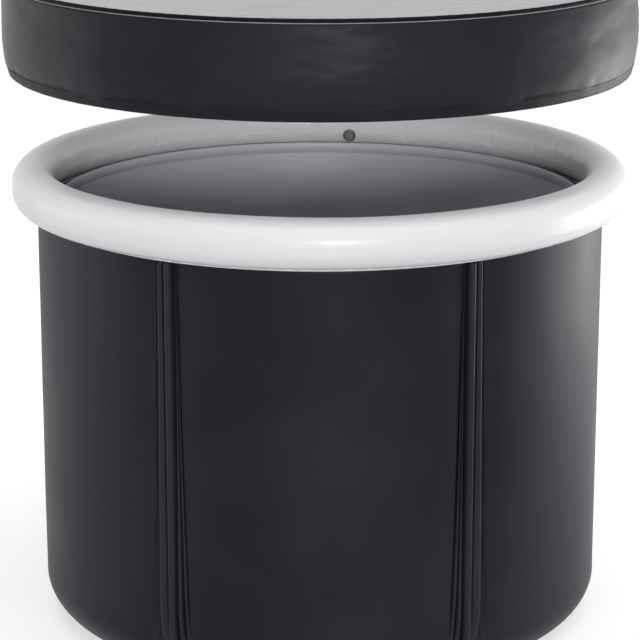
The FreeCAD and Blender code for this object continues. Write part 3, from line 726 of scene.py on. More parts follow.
def add_creases(tree, shader, scale, stretch, strength):
    """The soft creases of a slack skin, as a bump."""
    creases = place_effect(tree, "slack_skin", Scale=scale, Stretch=stretch)
    return add_bump(tree, shader, creases.outputs["Height"], strength, CREASE_BUMP)


def tone(tree, shader, colour, bloom, scale, rough):
    """Drifting colour and roughness on a shader."""
    low, high = rough
    drift = place_effect(tree, "cloudy_tone", Colour=colour, Bloom=bloom, Scale=scale,
                         Roughness_low=low, Roughness_high=high)
    tree.links.new(drift.outputs["Colour"], shader.inputs["Base Color"])
    tree.links.new(drift.outputs["Roughness"], shader.inputs["Roughness"])
    return drift.outputs["Colour"]


def paler(colour, factor):
    """A colour made paler, or darker below a factor of one."""
    return tuple(min(1.0, channel * factor) for channel in colour)


def skin_material(name, colour, bloom, rough, gloss, thread, weave, slack, tint=PLAIN):
    """A coated fabric: drifting tone, a fine weave under the coat and soft creases."""
    material, tree, shader = new_material(name, Specular_IOR_Level=gloss, Specular_Tint=tint)
    tone(tree, shader, colour, bloom, 5.0, rough)
    threads = place_effect(tree, "coated_weave", Thread=thread)
    creases = add_creases(tree, shader, 7.0, 0.3, slack)
    add_bump(tree, shader, threads.outputs["Height"], weave, WEAVE_BUMP, creases)
    return material


def brushed_material(name, colour):
    """A pale coated fabric with fine brushed streaks over a drifting tone."""
    material, tree, shader = new_material(name, Specular_IOR_Level=0.2)
    drift = tone(tree, shader, colour, paler(colour, 1.06), 5.0, (0.58, 0.70))
    streaks = place_effect(tree, "brushed_grain", Streak=paler(colour, 0.84))
    tree.links.new(drift, streaks.inputs["Colour"])
    tree.links.new(streaks.outputs["Colour"], shader.inputs["Base Color"])
    creases = add_creases(tree, shader, 7.0, 0.3, 0.2)
    add_bump(tree, shader, streaks.outputs["Height"], 0.25, STREAK_BUMP, creases)
    return material


def moulded_material(name, colour, worn, rough, speckle):
    """A moulded plastic or rubber with a fine grain and paler edges."""
    material, tree, shader = new_material(name)
    drift = tone(tree, shader, colour, paler(colour, 1.12), 30.0, rough)
    edges = place_effect(tree, "worn_edge", Worn=worn)
    tree.links.new(drift, edges.inputs["Colour"])
    tree.links.new(edges.outputs["Colour"], shader.inputs["Base Color"])
    add_bump(tree, shader, grain(tree, spot(tree, "Object"), 900.0, 2.0), speckle, GRAIN_BUMP)
    return material


def metal_material(name, colour, rough):
    """A turned metal with a drifting roughness."""
    material, tree, shader = new_material(name, Metallic=1.0)
    tone(tree, shader, colour, paler(colour, 1.1), 60.0, rough)
    return material


def foam_material():
    """Closed-cell foam with fine cells."""
    material, tree, shader = new_material("grey_foam", Specular_IOR_Level=0.2)
    tone(tree, shader, (0.22, 0.22, 0.23), (0.27, 0.27, 0.28), 20.0, (0.85, 0.95))
    cells = add(tree, "ShaderNodeTexVoronoi", [(spot(tree, "Object"), "Vector"), (700.0, "Scale")])
    add_bump(tree, shader, cells.outputs["Distance"], 0.5, CELL_BUMP)
    return material


def ring_material(colour):
    """Smooth white vinyl, tight with air."""
    material, tree, shader = new_material("white_ring_vinyl", Specular_IOR_Level=0.45)
    tone(tree, shader, colour, paler(colour, 1.03), 3.0, (0.29, 0.35))
    add_creases(tree, shader, 5.0, 2.0, 0.08)
    return material


# The tub

def pleat_side(rod):
    """The side on which a rod's pleats fan out: 1 on every second rod and -1 on the others."""
    return 1 if rod % 2 == 0 else -1


def wall_angles():
    """Angles round the wall, crowded at each rod, and how far each lies from its rod towards the pleats."""
    share = np.arange(PANEL_COLUMNS) / PANEL_COLUMNS - 0.5
    crowded = (share - ROD_CROWDING * np.sin(TURN * share) / TURN) * SECTOR
    angles = np.concatenate([rod * SECTOR + crowded for rod in range(ROD_COUNT)])
    offset = np.concatenate([pleat_side(rod) * crowded * WALL_RADIUS for rod in range(ROD_COUNT)])
    return angles, offset


def channel_width(heights, look):
    """Half the width of a rod's channel at a height: it spreads towards the foot."""
    share = np.clip((SLEEVE_HIGH.z - heights) / (SLEEVE_HIGH.z - SLEEVE_LOW.z), 0, 1)
    return look.sleeve_top_width + (look.sleeve_foot_width - look.sleeve_top_width) * share**CHANNEL_SPREAD


def outer_wall(look):
    """The black wall: panels that draw in beside each rod, a channel for each sleeve and a rounded foot."""
    angles, offset = wall_angles()
    turn = np.linspace(-math.pi / 2, 0, BEND_ROWS)[:-1]
    straight = np.linspace(BASE_BEND, WALL_TOP, WALL_ROWS)
    foot_reach = BASE_RADIUS + BASE_BEND * np.cos(turn)
    foot_rise = BASE_BEND + BASE_BEND * np.sin(turn)
    radius = np.concatenate([foot_reach, np.full(straight.size, WALL_RADIUS)])[:, None]
    height = np.concatenate([foot_rise, straight])[:, None]
    width = channel_width(height, look)
    rise = smooth_step(height, DRAW_LOW, DRAW_HIGH)
    drawn = look.panel_fullness * hump(offset, 0, look.panel_fall)
    from_middle = np.abs(offset + CHANNEL_LEAN)
    channel = CHANNEL_DEPTH * (1 - smooth_step(from_middle, CHANNEL_FLAT * width, CHANNEL_LIP * width))
    radius = radius - rise * (drawn + channel) + rise * lumps(WALL_LUMPS, angles, height)
    return turned_mesh("outer_wall_skin", angles, radius, height)


def sleeve_skin(number):
    """One rod's sleeve: a bead round the rod among pleats that fan out towards the foot."""
    height = np.linspace(SLEEVE_FOOT, SLEEVE_HIGH.z, SLEEVE_ROWS)[:, None]
    fall = (SLEEVE_HIGH.z - height) / (SLEEVE_HIGH.z - SLEEVE_FOOT)
    sway = SLEEVE_SWAY * np.sin(SWAY_WAVE * height / SLEEVE_HIGH.z + SWAY_SHIFT * number)
    crease = CREASES_ABOVE + (CREASES_BELOW - CREASES_ABOVE) * fall**FAN_POWER
    crease = crease + sway * fall * (np.abs(crease) > SWAY_FROM)
    step = np.linspace(0, math.pi, PLEAT_COLUMNS)
    across = []
    reach = []
    for left, right, crest, tail in zip(crease.T[:-1], crease.T[1:], PLEAT_CRESTS, PLEAT_TAILS):
        half = (right - left)[:, None] / 2
        swell = np.sqrt(smooth_step(height, SLEEVE_FOOT, SLEEVE_FOOT + tail))
        own = step[1:] if across else step
        across.append(left[:, None] + half * (1 - np.cos(own)))
        reach.append(SLEEVE_FLOOR + np.minimum(PLEAT_STEEPNESS * half, crest) * swell * np.sin(own))
    side = pleat_side(number)
    across = side * np.hstack(across)[:, ::side]
    reach = np.hstack(reach)[:, ::side]
    sleeve = grid_mesh(f"rod_sleeve_skin_{number + 1}", number * SECTOR, across, reach, height)
    keep_creases(sleeve, reach.shape[1])
    return sleeve


def grid_mesh(name, middle, across, reach, height):
    """A mesh along an upright line of the wall, from each point's place across it, its radius and height."""
    rows, columns = reach.shape
    height = np.broadcast_to(height, reach.shape)
    angle = middle + across / WALL_RADIUS
    points = np.stack([reach * np.cos(angle), reach * np.sin(angle), height], -1)
    first = np.arange(rows - 1)[:, None] * columns + np.arange(columns - 1)
    faces = corners_of(first, first + 1, first + columns + 1, first + columns)
    uvs = np.stack([across.ravel()[faces], height.ravel()[faces]], -1).reshape(-1, 2)
    return finished_mesh(name, points.reshape(-1, 3).tolist(), faces.tolist(), uvs)


def keep_creases(sleeve, columns):
    """Shade each pleat of a sleeve by itself, so that the creases between pleats stay crisp."""
    edges = sleeve.data.edges
    ends = np.empty(len(edges) * 2, np.int32)
    edges.foreach_get("vertices", ends)
    column = ends.reshape(-1, 2) % columns
    upright = column[:, 0] == column[:, 1]
    edges.foreach_set("use_edge_sharp", upright & (column[:, 0] % (PLEAT_COLUMNS - 1) == 0))


def base_skin():
    """The flat underside, with a welded rim."""
    weld = BASE_RADIUS - BASE_WELD
    section = [(BASE_RADIUS, BASE_EDGE_LIFT), (weld, 0), (weld - BASE_STEP, BASE_LIFT)]
    section += [(reach, BASE_LIFT) for reach in BASE_ROWS]
    return turned_mesh("base_skin", even_angles(ROUND_COLUMNS), *section_of(section), pole=True)


def liner_section():
    """Radius and height along the liner, from its rolled rim down the wall and in over the floor."""
    middle = LINER_INSIDE - LINER_BEND
    bend_rise = LINER_FLOOR + LINER_BEND
    wall = np.linspace(RIM_LOW - RIM_GAP, bend_rise, LINER_ROWS)
    turn = np.linspace(0, -math.pi / 2, LINER_BEND_ROWS)[1:]
    flat = np.linspace(middle, WIDE_HUB, LINER_FLOOR_ROWS)[1:]
    bend_reach = middle + LINER_BEND * np.cos(turn)
    bend_height = bend_rise + LINER_BEND * np.sin(turn)
    radius = [LINER_INSIDE + RIM_SPREADS, np.full(wall.size, LINER_INSIDE), bend_reach, flat]
    height = [RIM_TOP - RIM_DROPS, wall, bend_height, np.full(flat.size, LINER_FLOOR)]
    return np.concatenate(radius)[:, None], np.concatenate(height)[:, None]


def liner_skin():
    """The pale liner: a rolled rim, a slack wall with a welded seam, a rounded edge and a floor."""
    angles = even_angles(DOUBLE_COLUMNS)
    radius, height = liner_section()
    above_floor = smooth_step(height, LINER_FLOOR, LINER_FLOOR + LINER_FADE)
    below_rim = 1 - smooth_step(height, RIM_TOP - LINER_FADE, RIM_LOW)
    slack = lumps(LINER_LUMPS, angles, height) - LINER_INSET
    from_seam = np.abs(angles - SEAM_ANGLE) * LINER_INSIDE
    seam = SEAM_RISE * (1 - smooth_step(from_seam, SEAM_HALF, SEAM_HALF + SEAM_EDGE))
    foot = hump(height, LINER_FLOOR + LINER_BEND, GATHER_SPAN) * waves(LINER_GATHERS, angles)
    on_floor = 1 - smooth_step(height, LINER_FLOOR, LINER_FLOOR + FLOOR_FADE)
    sag = on_floor * smooth_step(radius, 0, SAG_SPAN) * lumps(FLOOR_LUMPS, angles, radius)
    radius = radius + above_floor * below_rim * (slack - seam) - foot * (1 - on_floor)
    return turned_mesh("inner_liner_skin", angles, radius, height + np.abs(sag), pole=True)


def air_ring():
    """The inflated ring, tight with air, with soft puckers where it is welded below."""
    angles = even_angles(FINE_COLUMNS)
    turn = round_section(RING_ROWS) - math.pi / 2
    out = RING_TUBE * np.cos(turn)
    up = RING_TUBE * np.sin(turn) + np.sign(np.sin(turn)) * RING_STRAIGHT / 2
    below = hump(turn, -math.pi / 2, PUCKER_SPAN) + hump(turn, 3 * math.pi / 2, PUCKER_SPAN)
    uneven = below * waves(RING_PUCKERS, angles) + lumps(RING_LUMPS, angles, up + RING_SLANT * out)
    swell = 1 + (uneven - RING_INSET) / RING_TUBE
    reach = RING_RADIUS + out * swell
    return turned_mesh("air_ring_skin", angles, reach, RING_MIDDLE + up * swell, closed=True)


def ring_weld():
    """The welded band that joins the ring to the top of the wall."""
    reach, rise = section_of(WELD_SECTION + (WALL_RADIUS, WELD_LOW))
    return turned_mesh("ring_weld_band", even_angles(ROUND_COLUMNS), reach, rise, closed=True)


def foam_board(number):
    """One foam board of the wall, between two rods, with eased edges."""
    first = number * SECTOR
    half = BOARD_HALF_GAP / WALL_RADIUS
    angles = np.linspace(first + half, first + SECTOR - half, BOARD_COLUMNS)
    inner = LINER_OUTSIDE + BOARD_INSIDE_GAP
    from_rod = WALL_RADIUS * np.minimum(angles - first, first + SECTOR - angles)
    relief = BOARD_RELIEF * (1 - smooth_step(from_rod, BOARD_RELIEF_FROM, BOARD_RELIEF_TO))
    outer = WALL_RADIUS - BOARD_OUTSIDE_GAP - relief
    low = BASE_BEND
    top = WALL_TOP - BOARD_TOP_GAP
    rows = []
    for share, height in ((0, low), (1, low), (1, top), (0, top)):
        reach = inner + share * (outer - inner)
        level = np.full(angles.size, height)
        rows.append(np.stack([reach * np.cos(angles), reach * np.sin(angles), level], -1))
    count = BOARD_COLUMNS
    faces = [(3 * count, 2 * count, count, 0), (count - 1, 2 * count - 1, 3 * count - 1, 4 * count - 1)]
    for i in range(4):
        here = i * count
        there = (i + 1) % 4 * count
        faces += [(here + j, here + j + 1, there + j + 1, there + j) for j in range(count - 1)]
    board = finished_mesh(f"wall_foam_board_{number + 1}", np.concatenate(rows).tolist(), faces)
    round_edges(board, BOARD_EASE)
    return board


def foam_disc(name, section):
    """A round foam mat from its section."""
    return turned_mesh(name, even_angles(FOAM_COLUMNS), *section_of(section), closed=True)


def base_foam():
    """The mat under the liner's floor, with a bevelled lower edge."""
    reach = BASE_RADIUS - MAT_INSET
    edge = reach + MAT_BEND_OUT
    top = FOAM_FLOOR - MAT_TOP_GAP
    section = [(HUB, MAT_LOW), (reach, MAT_LOW), (edge, MAT_LOW + MAT_BEND_UP), (edge, top), (HUB, top)]
    return foam_disc("base_foam", section)


def lid_foam():
    """The lid's core, which follows its crown."""
    reach = LID_RADIUS - CORE_INSET
    low = LINING_HIGH.z + CORE_LOW_GAP
    top = [(share * reach, crown_height(share * reach) - CORE_TOP_GAP) for share in CORE_SHARES]
    return foam_disc("lid_foam", [(HUB, low), (reach, low), *top])


# The lid

def skirt_section(look):
    """Radius and height along the lid's side, from the hem up to the piping."""
    height = np.linspace(SKIRT_LOW, SKIRT_HIGH, SKIRT_ROWS)
    above = np.clip((height - SKIRT_FULLEST) / (SKIRT_HIGH - SKIRT_FULLEST), 0, 1)
    below = np.clip((SKIRT_FULLEST - height) / (SKIRT_FULLEST - SKIRT_LOW), 0, 1)
    return SKIRT_REACH - look.shoulder_draw * above**SHOULDER_POWER - look.hem_draw * below**HEM_POWER, height


def skirt_radius(rise, look):
    """The radius of the lid's side at a height."""
    radius, height = skirt_section(look)
    return np.interp(rise, height, radius)


def hem_folds(angles, height, look):
    """The small gathers of the lid's side at each angle and height, deepest at the hem."""
    near_hem = (1 - smooth_step(height, SKIRT_LOW, SKIRT_LOW + GATHER_HEIGHT)) ** GATHER_POWER
    return near_hem * waves((look.gather_depth, GATHER_COUNT, GATHER_SEED), angles)


def lid_skirt(look):
    """The lid's black side, full at the foam's edge and gathered at its hem."""
    angles = even_angles(FINE_COLUMNS)
    radius, height = (line[:, None] for line in skirt_section(look))
    middle = smooth_step(height, SKIRT_LOW, HEM_TOP) * (1 - smooth_step(height, SKIRT_FADE, SKIRT_HIGH))
    uneven = lumps(SKIRT_DENTS, angles, height) + lumps(SKIRT_CREASES, angles, height)
    lip = LIP_RISE * hump(height, LIP_PLACE, LIP_SPAN)
    radius = radius + hem_folds(angles, height, look) + middle * uneven + lip
    return turned_mesh("lid_skirt_skin", angles, radius, height)


def lid_binding(look):
    """The tape folded round the hem, which follows the gathers."""
    angles = even_angles(FINE_COLUMNS)
    height = (BINDING_LOW + BINDING_RISES)[:, None]
    reach = skirt_radius(height, look) + BINDING_SPREADS[:, None] + hem_folds(angles, height, look)
    return turned_mesh("lid_hem_binding", angles, reach, height, closed=True)


def lid_elastic(look):
    """The elastic inside the hem's fold."""
    turn = round_section(ELASTIC_ROWS)
    reach = skirt_radius(SKIRT_LOW, look) - ELASTIC_INSET + ELASTIC_HALF_WIDTH * np.cos(turn)
    rise = SKIRT_LOW - ELASTIC_INSET + ELASTIC_HALF_HEIGHT * np.sin(turn)
    return turned_mesh("lid_hem_elastic", even_angles(ROUND_COLUMNS), reach, rise, closed=True)


def crown_height(reach):
    """The height of the lid's crowned top at a radius."""
    return PIPING_RISE + CROWN_RISE * (1 - (reach / LID_RADIUS) ** 2)


def lid_top():
    """The crowned top panel, with soft ripples towards its sewn edge."""
    angles = even_angles(DOUBLE_COLUMNS)
    edge_rows = np.linspace(LID_RADIUS, LID_RADIUS - TOP_EDGE_SPAN, TOP_EDGE_ROWS)
    middle_rows = np.linspace(LID_RADIUS - TOP_MIDDLE_START, HUB, TOP_MIDDLE_ROWS)
    reach = np.concatenate([edge_rows, middle_rows])[:, None]
    inset = LID_RADIUS - reach
    edge = hump(inset, RIPPLE_INSET, RIPPLE_SPAN) * smooth_step(inset, 0, RIPPLE_START)
    inside = smooth_step(inset, 0, TOP_LUMP_START) * smooth_step(reach, 0, TOP_LUMP_HUB)
    seam = TOP_SEAM_DEPTH * hump(inset, TOP_SEAM_INSET, TOP_SEAM_HALF)
    uneven = edge * waves(TOP_RIPPLES, angles) + inside * lumps(TOP_LUMPS, angles, reach)
    return turned_mesh("lid_top_panel", angles, reach, crown_height(reach) + uneven - seam, pole=True)


def lid_piping():
    """The cord of skin round the lid's top edge."""
    angles = even_angles(FINE_COLUMNS)
    turn = round_section(PIPING_ROWS)
    size = PIPING_RADIUS + waves(PIPING_SWELL, angles)
    reach = LID_RADIUS + size * np.cos(turn) + waves(PIPING_WANDER, angles)
    return turned_mesh("lid_edge_piping", angles, reach, PIPING_RISE + size * np.sin(turn), closed=True)


def lid_highlight_cord(look):
    """The thin pale cord sewn along the top of the lid's side, under the piping; its pale grey is a painted
    highlight of the skirt's lit top edge.
    """
    turn = round_section(HIGHLIGHT_CORD_ROWS)
    reach = skirt_radius(SKIRT_HIGH, look) + HIGHLIGHT_CORD_RADIUS * np.cos(turn)
    rise = SKIRT_HIGH + HIGHLIGHT_CORD_RADIUS * (1 + np.sin(turn))
    return turned_mesh("lid_highlight_cord", even_angles(FINE_COLUMNS), reach, rise, closed=True)


def lid_lining():
    """The lining under the lid, which comes down on the ring; its angles run backwards, so it faces down."""
    angles = even_angles(ROUND_COLUMNS)
    reach = np.linspace(LID_RADIUS - LINING_INSET, HUB, LINING_ROWS)[:, None]
    soft = lumps(LINING_LUMPS, angles, reach) * smooth_step(LID_RADIUS - reach, 0, LINING_LUMP_START)
    height = LINING_LOW.z + LINING_RISE + soft
    return turned_mesh("lid_lining_panel", angles[::-1], reach, height, pole=True)


def stitch_row(name, radius, rise):
    """A row of short raised stitches round the lid, each a small grain that narrows at its ends."""
    vertices = []
    faces = []
    for angle, reach in zip(even_angles(STITCH_COUNT).tolist(), radius.tolist()):
        away = Vector((math.cos(angle), math.sin(angle), 0))
        along = Vector((-math.sin(angle), math.cos(angle), 0))
        side = along.cross(away)
        centre = away * reach + Vector((0, 0, rise))
        start = len(vertices)
        for step, share in STITCH_STEPS:
            middle = centre + along * (step * STITCH_LENGTH)
            size = share * STITCH_THICKNESS
            vertices += [tuple(middle + way * size) for way in (away, side, -away, -side)]
        for i in range(3):
            here = start + 4 * i
            faces += [(here + j, here + (j + 1) % 4, here + 4 + (j + 1) % 4, here + 4 + j) for j in range(4)]
        faces += [(start + 3, start + 2, start + 1, start), (start + 12, start + 13, start + 14, start + 15)]
    return finished_mesh(name, vertices, faces)


# The stage

def lay_floor(setting):
    """A wide pale floor."""
    corners = [(-1, -1), (1, -1), (1, 1), (-1, 1)]
    points = [(x * FLOOR_HALF, y * FLOOR_HALF, 0) for x, y in corners]
    floor = finished_mesh("floor", points, [(0, 1, 2, 3)])
    floor.location.z = -FLOOR_DROP
    material, tree, shader = new_material("pale_floor", Specular_IOR_Level=0.1)
    tone(tree, shader, setting.floor_colour, paler(setting.floor_colour, 1.01), 0.5, (0.85, 0.9))
    tree.links.new(seen_directly(tree), shader.inputs["Emission Color"])
    shader.inputs["Emission Strength"].default_value = setting.floor_glow
    floor.data.materials.append(material)


def seen_directly(tree):
    """1 where the camera sees a surface straight, in a mirror or through glass, and 0 elsewhere."""
    path = add(tree, "ShaderNodeLightPath").outputs
    seen = worked_out(tree, "MAXIMUM", path["Is Camera Ray"], path["Is Glossy Ray"])
    return worked_out(tree, "MAXIMUM", seen, path["Is Transmission Ray"])


def hang_lamp(name, light, power):
    """A soft rectangular lamp that faces a point."""
    place, aim, size = light
    lamp = bpy.data.lights.new(name, "AREA")
    lamp.shape = "RECTANGLE"
    lamp.size, lamp.size_y = size
    lamp.energy = power
    holder = bpy.data.objects.new(name, lamp)
    holder.location = place
    holder.rotation_euler = (Vector(aim) - Vector(place)).to_track_quat("-Z", "Y").to_euler()
    bpy.context.scene.collection.objects.link(holder)


def hang_sun(name, light, strength):
    """A soft lamp from far away."""
    spread, lean, turn = light
    sun = bpy.data.lights.new(name, "SUN")
    sun.energy = strength
    sun.angle = math.radians(spread)
    holder = bpy.data.objects.new(name, sun)
    holder.rotation_euler = (math.radians(lean), 0, math.radians(turn))
    bpy.context.scene.collection.objects.link(holder)


def light_room(scene, setting):
    """Even light from all round, which shows as white behind the object."""
    room = scene.world or bpy.data.worlds.new("room")
    scene.world = room
    room.use_nodes = True
    tree = room.node_tree
    backing = tree.nodes["Background"]
    backing.inputs["Color"].default_value = (1, 1, 1, 1)
    levels = [(seen_directly(tree), "Value"), (setting.sky_strength, 3), (1.0, 4)]
    level = add(tree, "ShaderNodeMapRange", levels)
    tree.links.new(level.outputs[0], backing.inputs["Strength"])


def set_camera(scene):
    """The photograph's camera."""
    lens = bpy.data.cameras.new("photo_camera")
    lens.lens = CAMERA_LENS
    lens.sensor_width = CAMERA_SENSOR
    camera = bpy.data.objects.new("photo_camera", lens)
    camera.location = CAMERA_PLACE
    camera.rotation_euler = (math.radians(90 - CAMERA_PITCH), 0, 0)
    scene.collection.objects.link(camera)
    scene.camera = camera


# Operators

class BATH_OT_outer_wall(bpy.types.Operator):
    """Make the black outer wall and its underside"""

    bl_idname = "bath.outer_wall"
    bl_label = "Outer Wall"

    def execute(self, context):
        look = context.scene.bath_tub
        cloth = skin_material("black_wall_fabric", look.wall_colour, look.wall_sheen, rough=(0.40, 0.48),
                              gloss=0.12, thread=FABRIC_THREAD, weave=0.10, slack=0.10, tint=VIOLET)
        wall = thicken(outer_wall(look), WALL_SKIN)
        dress(wall, "tub", "wall_skin", cloth, "outer_wall")
        base = thicken(base_skin(), WALL_SKIN, 1.0)
        dress(base, "tub", "wall_skin", cloth, "base_panel")
        return {"FINISHED"}


class BATH_OT_rod_sleeves(bpy.types.Operator):
    """Make the sleeve of each rod"""

    bl_idname = "bath.rod_sleeves"
    bl_label = "Rod Sleeves"

    def execute(self, context):
        look = context.scene.bath_tub
        cloth = skin_material("black_sleeve_fabric", look.wall_colour, look.wall_sheen, rough=(0.32, 0.40),
                              gloss=0.2, thread=FABRIC_THREAD, weave=0.08, slack=0.06, tint=VIOLET)
        for number in range(ROD_COUNT):
            sleeve = thicken(sleeve_skin(number), SLEEVE_SKIN)
            dress(sleeve, "tub", "sleeve_skin", cloth, f"rod_sleeve_{number + 1}")
        return {"FINISHED"}


class BATH_OT_inner_liner(bpy.types.Operator):
    """Make the pale liner inside the tub"""

    bl_idname = "bath.inner_liner"
    bl_label = "Inner Liner"

    def execute(self, context):
        look = context.scene.bath_tub
        vinyl = skin_material("pale_liner_vinyl", look.liner_colour, paler(look.liner_colour, 1.08),
                              rough=(0.34, 0.46), gloss=0.45, thread=LINER_THREAD, weave=0.05, slack=0.10)
        liner = thicken(liner_skin(), LINER_SKIN)
        dress(liner, "tub", "liner_skin", vinyl, "inner_liner")
        return {"FINISHED"}


class BATH_OT_air_ring(bpy.types.Operator):
    """Make the inflated ring and its welded band"""

    bl_idname = "bath.air_ring"
    bl_label = "Inflated Ring"

    def execute(self, context):
        look = context.scene.bath_tub
        vinyl = ring_material(look.ring_colour)
        ring = air_ring()
        inflate(ring, RING_ROWS, RING_WELD_ROWS, look.ring_pressure, RING_SLACK, RING_GIVE)
        dress(ring, "tub", "ring_skin", vinyl, "air_ring")
        dress(ring_weld(), "tub", "ring_skin", vinyl, "ring_weld_strip")
        return {"FINISHED"}


class BATH_OT_insulation(bpy.types.Operator):
    """Make the foam of the wall, the base and the lid"""

    bl_idname = "bath.insulation"
    bl_label = "Insulation"

    def execute(self, context):
        foam = foam_material()
        boards = [foam_board(number) for number in range(ROD_COUNT)]
        for board in boards:
            dress(board, "tub", "foam", foam)
        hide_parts("wall_insulation")
        dress(base_foam(), "tub", "foam", foam, "base_insulation")
        dress(lid_foam(), "lid", "foam", foam, "lid_insulation")
        return {"FINISHED"}


class BATH_OT_lid(bpy.types.Operator):
    """Make the lid's top panel, piping and lining"""

    bl_idname = "bath.lid"
    bl_label = "Lid Top"

    def execute(self, context):
        look = context.scene.bath_lid
        cloth = brushed_material("grey_lid_fabric", look.top_colour)
        dark = skin_material("black_piping_fabric", paler(look.skirt_colour, 0.5), look.skirt_colour,
                             rough=(0.5, 0.6), gloss=0.06, thread=PIPING_THREAD, weave=0.2, slack=0.05)
        pale = skin_material("grey_lining", look.lining_colour, paler(look.lining_colour, 1.1),
                             rough=(0.4, 0.5), gloss=0.4, thread=LINING_THREAD, weave=0.2, slack=0.3)
        top = dress(thicken(lid_top(), LID_SKIN), "lid", "lid_top_skin", cloth, "lid_top")
        dress(lid_piping(), "lid", "lid_piping_skin", dark, "lid_piping")
        lining = dress(thicken(lid_lining(), LID_SKIN), "lid", "lid_lining", pale, "lid_underside")
        return {"FINISHED"}


class BATH_OT_lid_skirt(bpy.types.Operator):
    """Make the lid's side, its gathered hem and its stitching"""

    bl_idname = "bath.lid_skirt"
    bl_label = "Lid Skirt"

    def execute(self, context):
        look = context.scene.bath_lid
        black = look.skirt_colour
        cloth = skin_material("black_skirt_fabric", black, paler(black, 1.8), rough=(0.36, 0.44), gloss=0.14,
                              thread=FABRIC_THREAD, weave=0.10, slack=0.16, tint=VIOLET)
        tape = skin_material("black_hem_tape", black, paler(black, 1.3), rough=(0.44, 0.52), gloss=0.12,
                             thread=TAPE_THREAD, weave=0.2, slack=0.05, tint=VIOLET)
        rubber = moulded_material("black_elastic", (0.03, 0.03, 0.03), (0.05, 0.05, 0.05), (0.6, 0.7), 0.2)
        thread = skin_material("black_thread", black, paler(black, 1.5), rough=(0.5, 0.6), gloss=0.1,
                               thread=SEWING_THREAD, weave=0.2, slack=0.0, tint=VIOLET)
        # Pale grey for the cord under the piping: a painted highlight of the skirt's lit top edge
        pale = skin_material("painted_highlight_cord", look.highlight_cord_colour, paler(look.highlight_cord_colour, 1.15),
                             rough=(0.5, 0.6), gloss=0.2, thread=HIGHLIGHT_CORD_THREAD, weave=0.3, slack=0.0)
        skirt = lid_skirt(look)
        inflate(skirt, SKIRT_ROWS, SKIRT_SEWN_ROWS, look.skirt_pressure, SKIRT_SLACK, SKIRT_GIVE)
        dress(thicken(skirt, SKIRT_SKIN), "lid", "lid_skirt_skin", cloth, "lid_skirt")
        angles = even_angles(STITCH_COUNT)
        edge_line = np.full(STITCH_COUNT, skirt_radius(EDGE_STITCH_RISE, look) + EDGE_STITCH_STAND)
        hem_line = skirt_radius(HEM_STITCH_RISE, look) + HEM_STITCH_STAND
        hem_line = hem_line + hem_folds(angles, HEM_STITCH_RISE, look)
        binding = lid_binding(look)
        elastic = lid_elastic(look)
        # The pale cord is a painted highlight along the skirt's lit top edge
        cord = lid_highlight_cord(look)
        edge_stitches = stitch_row("lid_edge_stitches", edge_line, EDGE_STITCH_RISE)
        hem_stitches = stitch_row("lid_hem_stitches", hem_line, HEM_STITCH_RISE)
        trimmings = [
            dress(binding, "lid", "lid_binding_tape", tape, "lid_binding"),
            dress(elastic, "lid", "elastic", rubber, "lid_elastic"),
            dress(cord, "lid", "lid_top_skin", pale),
            dress(edge_stitches, "lid", "lid_piping_skin", thread),
            dress(hem_stitches, "lid", "lid_binding_tape", thread),
        ]
        return {"FINISHED"}


class BATH_OT_fittings(bpy.types.Operator):
    """Finish the valve, the rods, the drain and the tap"""

    bl_idname = "bath.fittings"
    bl_label = "Valve, Rods and Tap"

    def execute(self, context):
        look = context.scene.bath_fittings
        rods = [f"support_rod_{number + 1}" for number in range(ROD_COUNT)]
        paint(["valve_neck", "valve_flap", "valve_cap"], moulded_material(
            "dark_valve_plastic", look.valve_colour, (0.20, 0.20, 0.21), (0.35, 0.5), 0.15))
        paint(["drain_bulkhead", "drain_lock_nut", "tap_body", "tap_outlet"], moulded_material(
            "black_tap_plastic", look.tap_colour, (0.07, 0.07, 0.072), (0.34, 0.46), 0.15))
        paint(["tap_handle"], moulded_material(
            "grey_handle_plastic", look.handle_colour, (0.10, 0.10, 0.105), (0.29, 0.38), 0.08))
        paint(rods, moulded_material(
            "grey_rod_plastic", (0.55, 0.55, 0.54), (0.66, 0.66, 0.65), (0.35, 0.5), 0.12))
        paint(["rod_feet", "rod_heads"], moulded_material(
            "black_plug_rubber", (0.02, 0.02, 0.02), (0.04, 0.04, 0.04), (0.6, 0.75), 0.3))
        paint(["drain_outer_gasket", "drain_inner_gasket", "tap_stem_seal"], moulded_material(
            "black_seal_rubber", (0.018, 0.018, 0.019), (0.035, 0.035, 0.035), (0.55, 0.7), 0.25))
        paint(["tap_seats"], moulded_material(
            "white_seat_plastic", (0.78, 0.78, 0.75), (0.85, 0.85, 0.83), (0.4, 0.5), 0.1))
        paint(["tap_ball"], metal_material("chromed_ball", (0.72, 0.73, 0.75), (0.06, 0.12)))
        paint(["tap_stem"], metal_material("brass_stem", (0.70, 0.48, 0.20), (0.29, 0.38)))
        paint(["tap_handle_screw"], metal_material("steel_screw", (0.56, 0.57, 0.58), (0.29, 0.38)))
        return {"FINISHED"}


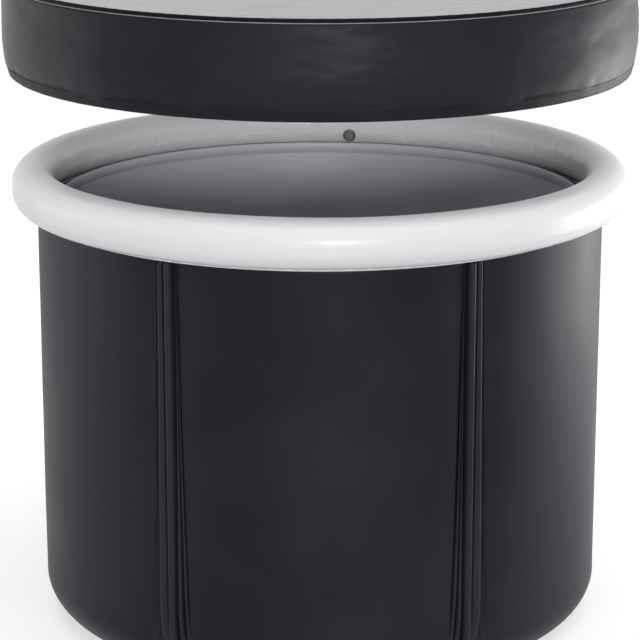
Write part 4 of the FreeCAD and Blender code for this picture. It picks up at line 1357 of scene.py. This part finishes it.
class BATH_OT_stage(bpy.types.Operator):
    """Lay the floor, hang the lamps and set the camera"""

    bl_idname = "bath.stage"
    bl_label = "Stage"

    def execute(self, context):
        scene = context.scene
        setting = scene.bath_stage
        scene.view_settings.view_transform = "Standard"
        lay_floor(setting)
        hang_sun("sky_lamp", SKY_LIGHT, setting.sky_lamp)
        hang_sun("front_lamp", FRONT_LIGHT, setting.front_lamp)
        hang_lamp("right_lamp", RIGHT_LIGHT, setting.right_power)
        hang_lamp("left_lamp", LEFT_LIGHT, setting.left_power)
        light_room(scene, setting)
        set_camera(scene)
        return {"FINISHED"}


class BATH_PT_finish(bpy.types.Panel):
    """The ice bath's settings and the operators that dress it"""

    bl_label = "Ice Bath"
    bl_idname = "BATH_PT_finish"
    bl_space_type = "VIEW_3D"
    bl_region_type = "UI"
    bl_category = "Ice Bath"

    def draw(self, context):
        for setting in SETTINGS:
            group = getattr(context.scene, setting)
            box = self.layout.box()
            for name in group.__annotations__:
                box.prop(group, name)
        for operator in OPERATORS:
            self.layout.operator(operator.bl_idname)


SETTINGS = {
    "bath_tub": TubFinish,
    "bath_lid": LidFinish,
    "bath_fittings": FittingFinish,
    "bath_stage": StageSetting,
}
OPERATORS = (
    BATH_OT_outer_wall,
    BATH_OT_rod_sleeves,
    BATH_OT_inner_liner,
    BATH_OT_air_ring,
    BATH_OT_insulation,
    BATH_OT_lid,
    BATH_OT_lid_skirt,
    BATH_OT_fittings,
    BATH_OT_stage,
)


def register():
    """Make the settings, the operators and the panel known to Blender."""
    for name, group in SETTINGS.items():
        bpy.utils.register_class(group)
        setattr(bpy.types.Scene, name, PointerProperty(type=group))
    for operator in OPERATORS:
        bpy.utils.register_class(operator)
    bpy.utils.register_class(BATH_PT_finish)


def unregister():
    """Take the panel, the operators and the settings away again."""
    bpy.utils.unregister_class(BATH_PT_finish)
    for operator in reversed(OPERATORS):
        bpy.utils.unregister_class(operator)
    for name, group in SETTINGS.items():
        delattr(bpy.types.Scene, name)
        bpy.utils.unregister_class(group)


def main():
    """Dress the whole ice bath."""
    register()
    for operator in OPERATORS:
        group, name = operator.bl_idname.split(".")
        getattr(getattr(bpy.ops, group), name)()


if __name__ == "__main__":
    main()
